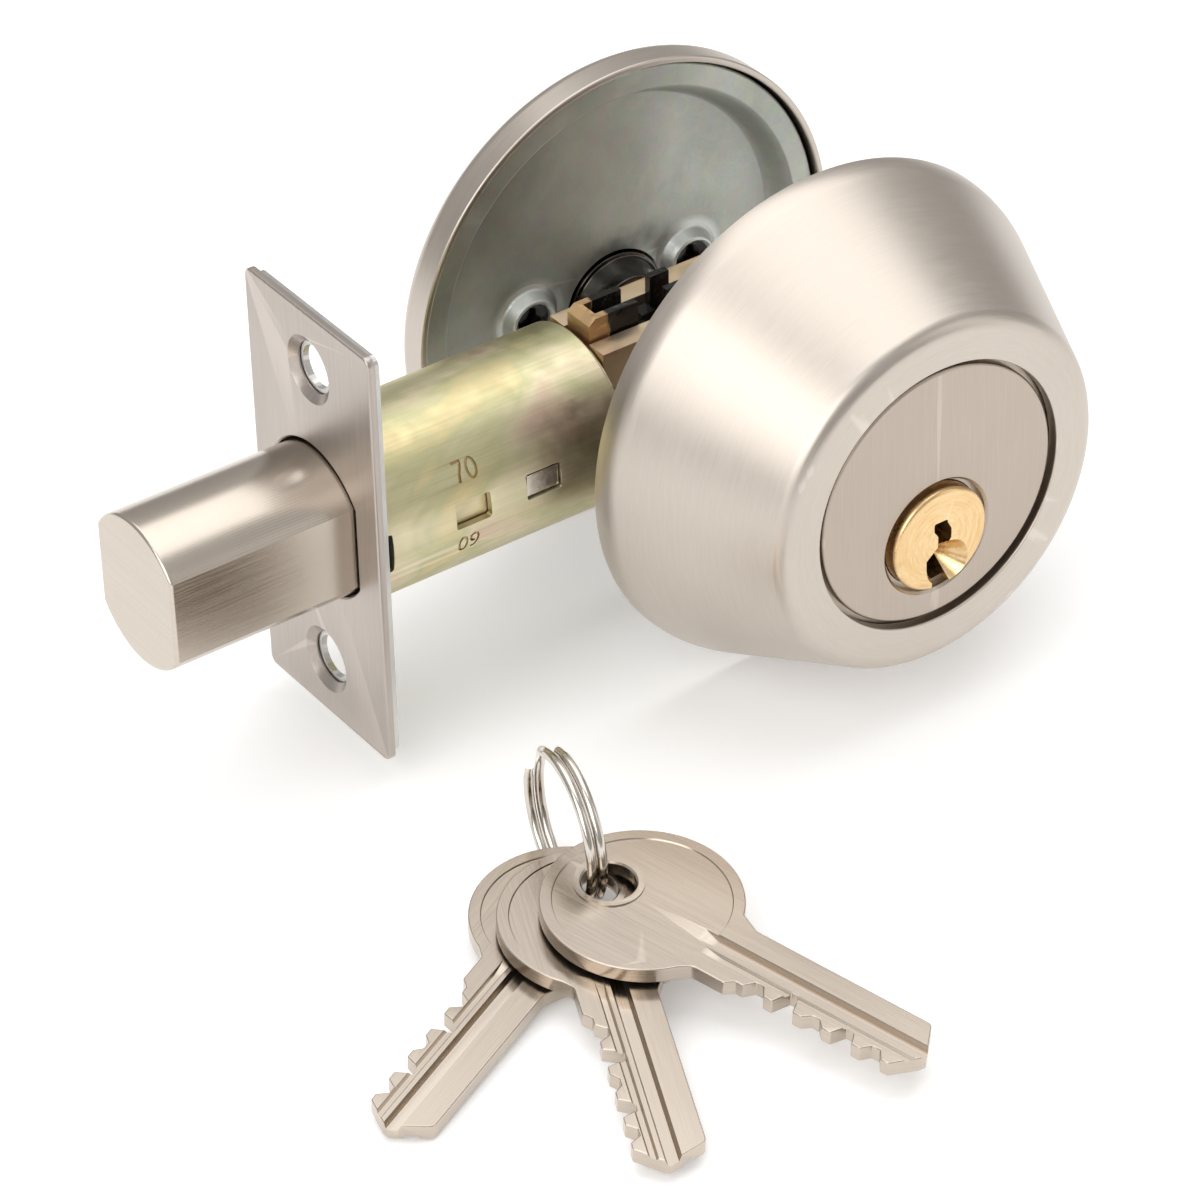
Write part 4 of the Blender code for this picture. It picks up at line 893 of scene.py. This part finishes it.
def build_key(number):
    """A cut key with a raised rim and three milled grooves, laid in its place."""
    node = f"key_{number}"
    key = bar(f"cut_key_{number}", key_outline(), 0, KEY_T, "xy", edge_low=0.16, edge_high=0.16, count=3)
    hole = [(0, -1), (KEY_HOLE_R + 0.4, -0.2), (KEY_HOLE_R, 0.2), (KEY_HOLE_R, KEY_T - 0.2),
            (KEY_HOLE_R + 0.4, KEY_T + 0.2), (0, KEY_T + 1)]
    for top in (True, False):
        level = KEY_T if top else 0.0
        sign = 1 if top else -1
        sunk, clear = level - sign * RIM_DEPTH, level + sign * 0.3
        hollow = [(0, sunk), (BOW_R - 1.5, sunk), (BOW_R - 1.2, clear), (0, clear)]
        dip = lathe("dip", hollow, axis="z", steps=128)
        keep = lathe("keep", [(0, level - 1), (4.25, level - 1), (4.1, level + 1), (0, level + 1)],
                     (-KEY_HOLE_BACK, 0, 0), axis="z", steps=72)
        carve(dip, keep)
        carve(key, dip)
    carve(key, lathe("key_hole", hole, (-KEY_HOLE_BACK, 0, 0), axis="z", steps=72))
    carve(key, key_groove("groove", -0.25, 1.0, 0.65, 0.75, True, BOW_R - 2.6))
    carve(key, key_groove("ledge", -2.35, 0.55, 0.3, 0.35, True, BOW_R - 0.4))
    carve(key, key_groove("groove_back", 1.7, 0.85, 0.5, 0.6, False, BOW_R - 2.4))
    brush_direction(key, (1, 0, 0))
    place_key(key, number)
    dress(key, "key_nickel", f"{node}_body", node)


def place_key(key, number):
    """Lay the key on its joint: the hole on the axis, the blade along its heading."""
    joint = next(j for j in frame["record"]["behaviour"]["joints"] if j["name"] == f"key_{number}_swing")
    turn = Matrix.Rotation(KEY_TILT, 4, "X") @ Matrix.Rotation(KEY_HEADINGS[number], 4, "Z")
    key.data.transform(turn @ Matrix.Translation(Vector((KEY_HOLE_BACK, 0, 0)) * MM))
    key.location = Vector(joint["pos_m"])


def build_split_ring():
    """Two turns of round wire that lie side by side and cross over once."""
    low, high = span("split_ring")
    centre = (low + high) / 2
    radius = (high.z - low.z) / 2 - RING_WIRE
    plane = Vector((math.cos(RING_HEADING), math.sin(RING_HEADING), 0))
    axis = Vector((-plane.y, plane.x, 0))
    count, sides, pitch = 220, 16, 2 * RING_WIRE + 0.12
    first, last = 0.07, 1.93
    sections = []
    for k in range(count):
        t = first + (last - first) * k / (count - 1)
        a = 2 * math.pi * t + RING_CROSSING
        cross = min(max((t - 0.93) / 0.14, 0.0), 1.0)
        side = pitch * (cross * cross * (3 - 2 * cross) - 0.5)
        outward = plane * math.cos(a) + Vector((0, 0, math.sin(a)))
        middle_point = outward * radius + axis * side
        wire = RING_WIRE * (1.0 if 3 < k < count - 4 else 0.86)
        sections.append([middle_point + (outward * math.cos(s) + axis * math.sin(s)) * wire
                         for s in (2 * math.pi * n / sides for n in range(sides))])
    ring = loft("wire_ring", sections, centre)
    dress(ring, "ring_steel", "ring_body", "split_ring")


# ---------------------------------------------------------------- CAD nodes that stay
SLOTS = {entry["node"]: entry["material_slot"] for entry in frame["record"]["subparts"]}
KEPT_BEVEL = {
    "backing_plate": 0.12, "case_plate_near": 0.22, "case_plate_far": 0.22, "bolt_tail": 0.7,
    "cam_hub": 0.25, "tailpiece": 0.2, "backset_catch": 0.15, "knob_washer": 0.1, "pin_cover": 0.15,
    "tail_cam": 0.12, "plug_clip": 0.1, "detent_spring": 0.08,
}
KEPT_FINISH = {"backset_catch": "lit_catch_nickel", "bolt_tail": "dipped_tail", "inner_sleeve": "shaded_sleeve_zinc",
               "case_plate_near": "rail_zinc", "case_plate_far": "rail_zinc"}


def finish_kept_nodes():
    """Every CAD node that still shows gets its finish, and a bevel where its edges catch light."""
    for name, node in frame["nodes"].items():
        if not node.material_slots:
            node.data.materials.append(None)
        for holder in node.material_slots:
            holder.material = MATERIALS[KEPT_FINISH.get(name, SLOTS[name])]
        if name in KEPT_BEVEL:
            bevel = node.modifiers.new("edge", "BEVEL")
            bevel.width = KEPT_BEVEL[name] * MM
            bevel.segments = 2
            bevel.limit_method = "ANGLE"
            bevel.angle_limit = math.radians(40)
            bevel.harden_normals = True


# ---------------------------------------------------------------- light, floor and camera
def build_camera():
    """A long lens above the room's left front corner, level but for a small roll."""
    yaw, pitch, roll = (math.radians(a) for a in (CAMERA_YAW, CAMERA_PITCH, CAMERA_ROLL))
    back = Vector((math.sin(yaw) * math.cos(pitch), -math.cos(yaw) * math.cos(pitch), math.sin(pitch)))
    level = Vector((math.cos(yaw), math.sin(yaw), 0))
    upright = back.cross(level)
    right = level * math.cos(roll) + upright * math.sin(roll)
    up = upright * math.cos(roll) - level * math.sin(roll)
    data = bpy.data.cameras.new("camera")
    data.lens, data.sensor_width = FOCAL_LENGTH, 36.0
    data.clip_start, data.clip_end = 0.01, 20.0
    camera = bpy.data.objects.new("camera", data)
    camera.matrix_world = Matrix.Translation(ORIGIN + Vector(CAMERA_AT) * MM) @ Matrix(
        (right, up, back)).transposed().to_4x4()
    bpy.context.scene.collection.objects.link(camera)
    bpy.context.scene.camera = camera


def softbox(name, place, size, power, colour=(1.0, 1.0, 1.0)):
    """Area light at a place round the lock, in metres, facing it."""
    data = bpy.data.lights.new(name, "AREA")
    data.shape = "RECTANGLE"
    data.size, data.size_y = size
    data.energy = power
    data.color = colour
    light = bpy.data.objects.new(name, data)
    light.location = Vector(place)
    light.rotation_mode = "QUATERNION"
    light.rotation_quaternion = (-Vector(place)).to_track_quat("-Z", "Y")
    bpy.context.scene.collection.objects.link(light)


def build_studio():
    """Pale world, three softboxes and a sheet of white paper."""
    world = bpy.data.worlds.new("studio")
    world.use_nodes = True
    tree = world.node_tree
    place = tree.nodes.new("ShaderNodeTexCoord")
    parts = tree.nodes.new("ShaderNodeSeparateXYZ")
    ramp = tree.nodes.new("ShaderNodeValToRGB")
    tree.links.new(place.outputs["Generated"], parts.inputs[0])
    tree.links.new(parts.outputs[2], ramp.inputs[0])
    ramp.color_ramp.elements[0].position = 0.0
    ramp.color_ramp.elements[0].color = (0.62, 0.60, 0.58, 1)
    ramp.color_ramp.elements[1].position = 0.75
    ramp.color_ramp.elements[1].color = (1.0, 0.99, 0.98, 1)
    tree.links.new(ramp.outputs[0], tree.nodes["Background"].inputs[0])
    tree.nodes["Background"].inputs[1].default_value = 0.62
    bpy.context.scene.world = world

    softbox("left_softbox", (-0.9, -0.4, 0.7), (1.0, 1.0), 6.8)
    softbox("top_softbox", (0.15, 0.2, 1.1), (1.2, 1.2), 6.5)
    softbox("right_softbox", (0.8, -0.8, 0.4), (0.5, 0.8), 1.0, (1.0, 0.97, 0.93))

    bm = bmesh.new()
    bmesh.ops.create_grid(bm, x_segments=1, y_segments=1, size=3.0)
    mesh = bpy.data.meshes.new("floor")
    bm.to_mesh(mesh)
    bm.free()
    floor = bpy.data.objects.new("floor", mesh)
    floor.location = (0, 0, cad_box[0].z - 0.05 * MM)
    bpy.context.scene.collection.objects.link(floor)
    paper = Shader("paper", Roughness=0.9, Emission_Color=(1.0, 1.0, 1.0, 1.0), Emission_Strength=0.22)
    tint = paper.noise(paper.scaled((3, 3, 3)), detail=2)
    paper.link("Base Color", paper.ramp(tint, (0.3, (0.90, 0.90, 0.90)), (0.7, (0.93, 0.93, 0.93))))
    mesh.materials.append(paper.material)
    bpy.context.scene.view_settings.view_transform = "Standard"


build_collar()
build_face()
build_plug()
build_faceplate()
build_bolt()
build_tube()
build_rose()
build_dish()
for insert_number, sign in enumerate((-1, 1), start=1):
    build_insert(insert_number, BOSS_CENTRE_X + sign * BOSS_X)
build_hub()
build_knob()
for key_number in (1, 2, 3):
    build_key(key_number)
build_split_ring()
finish_kept_nodes()
build_camera()
build_studio()
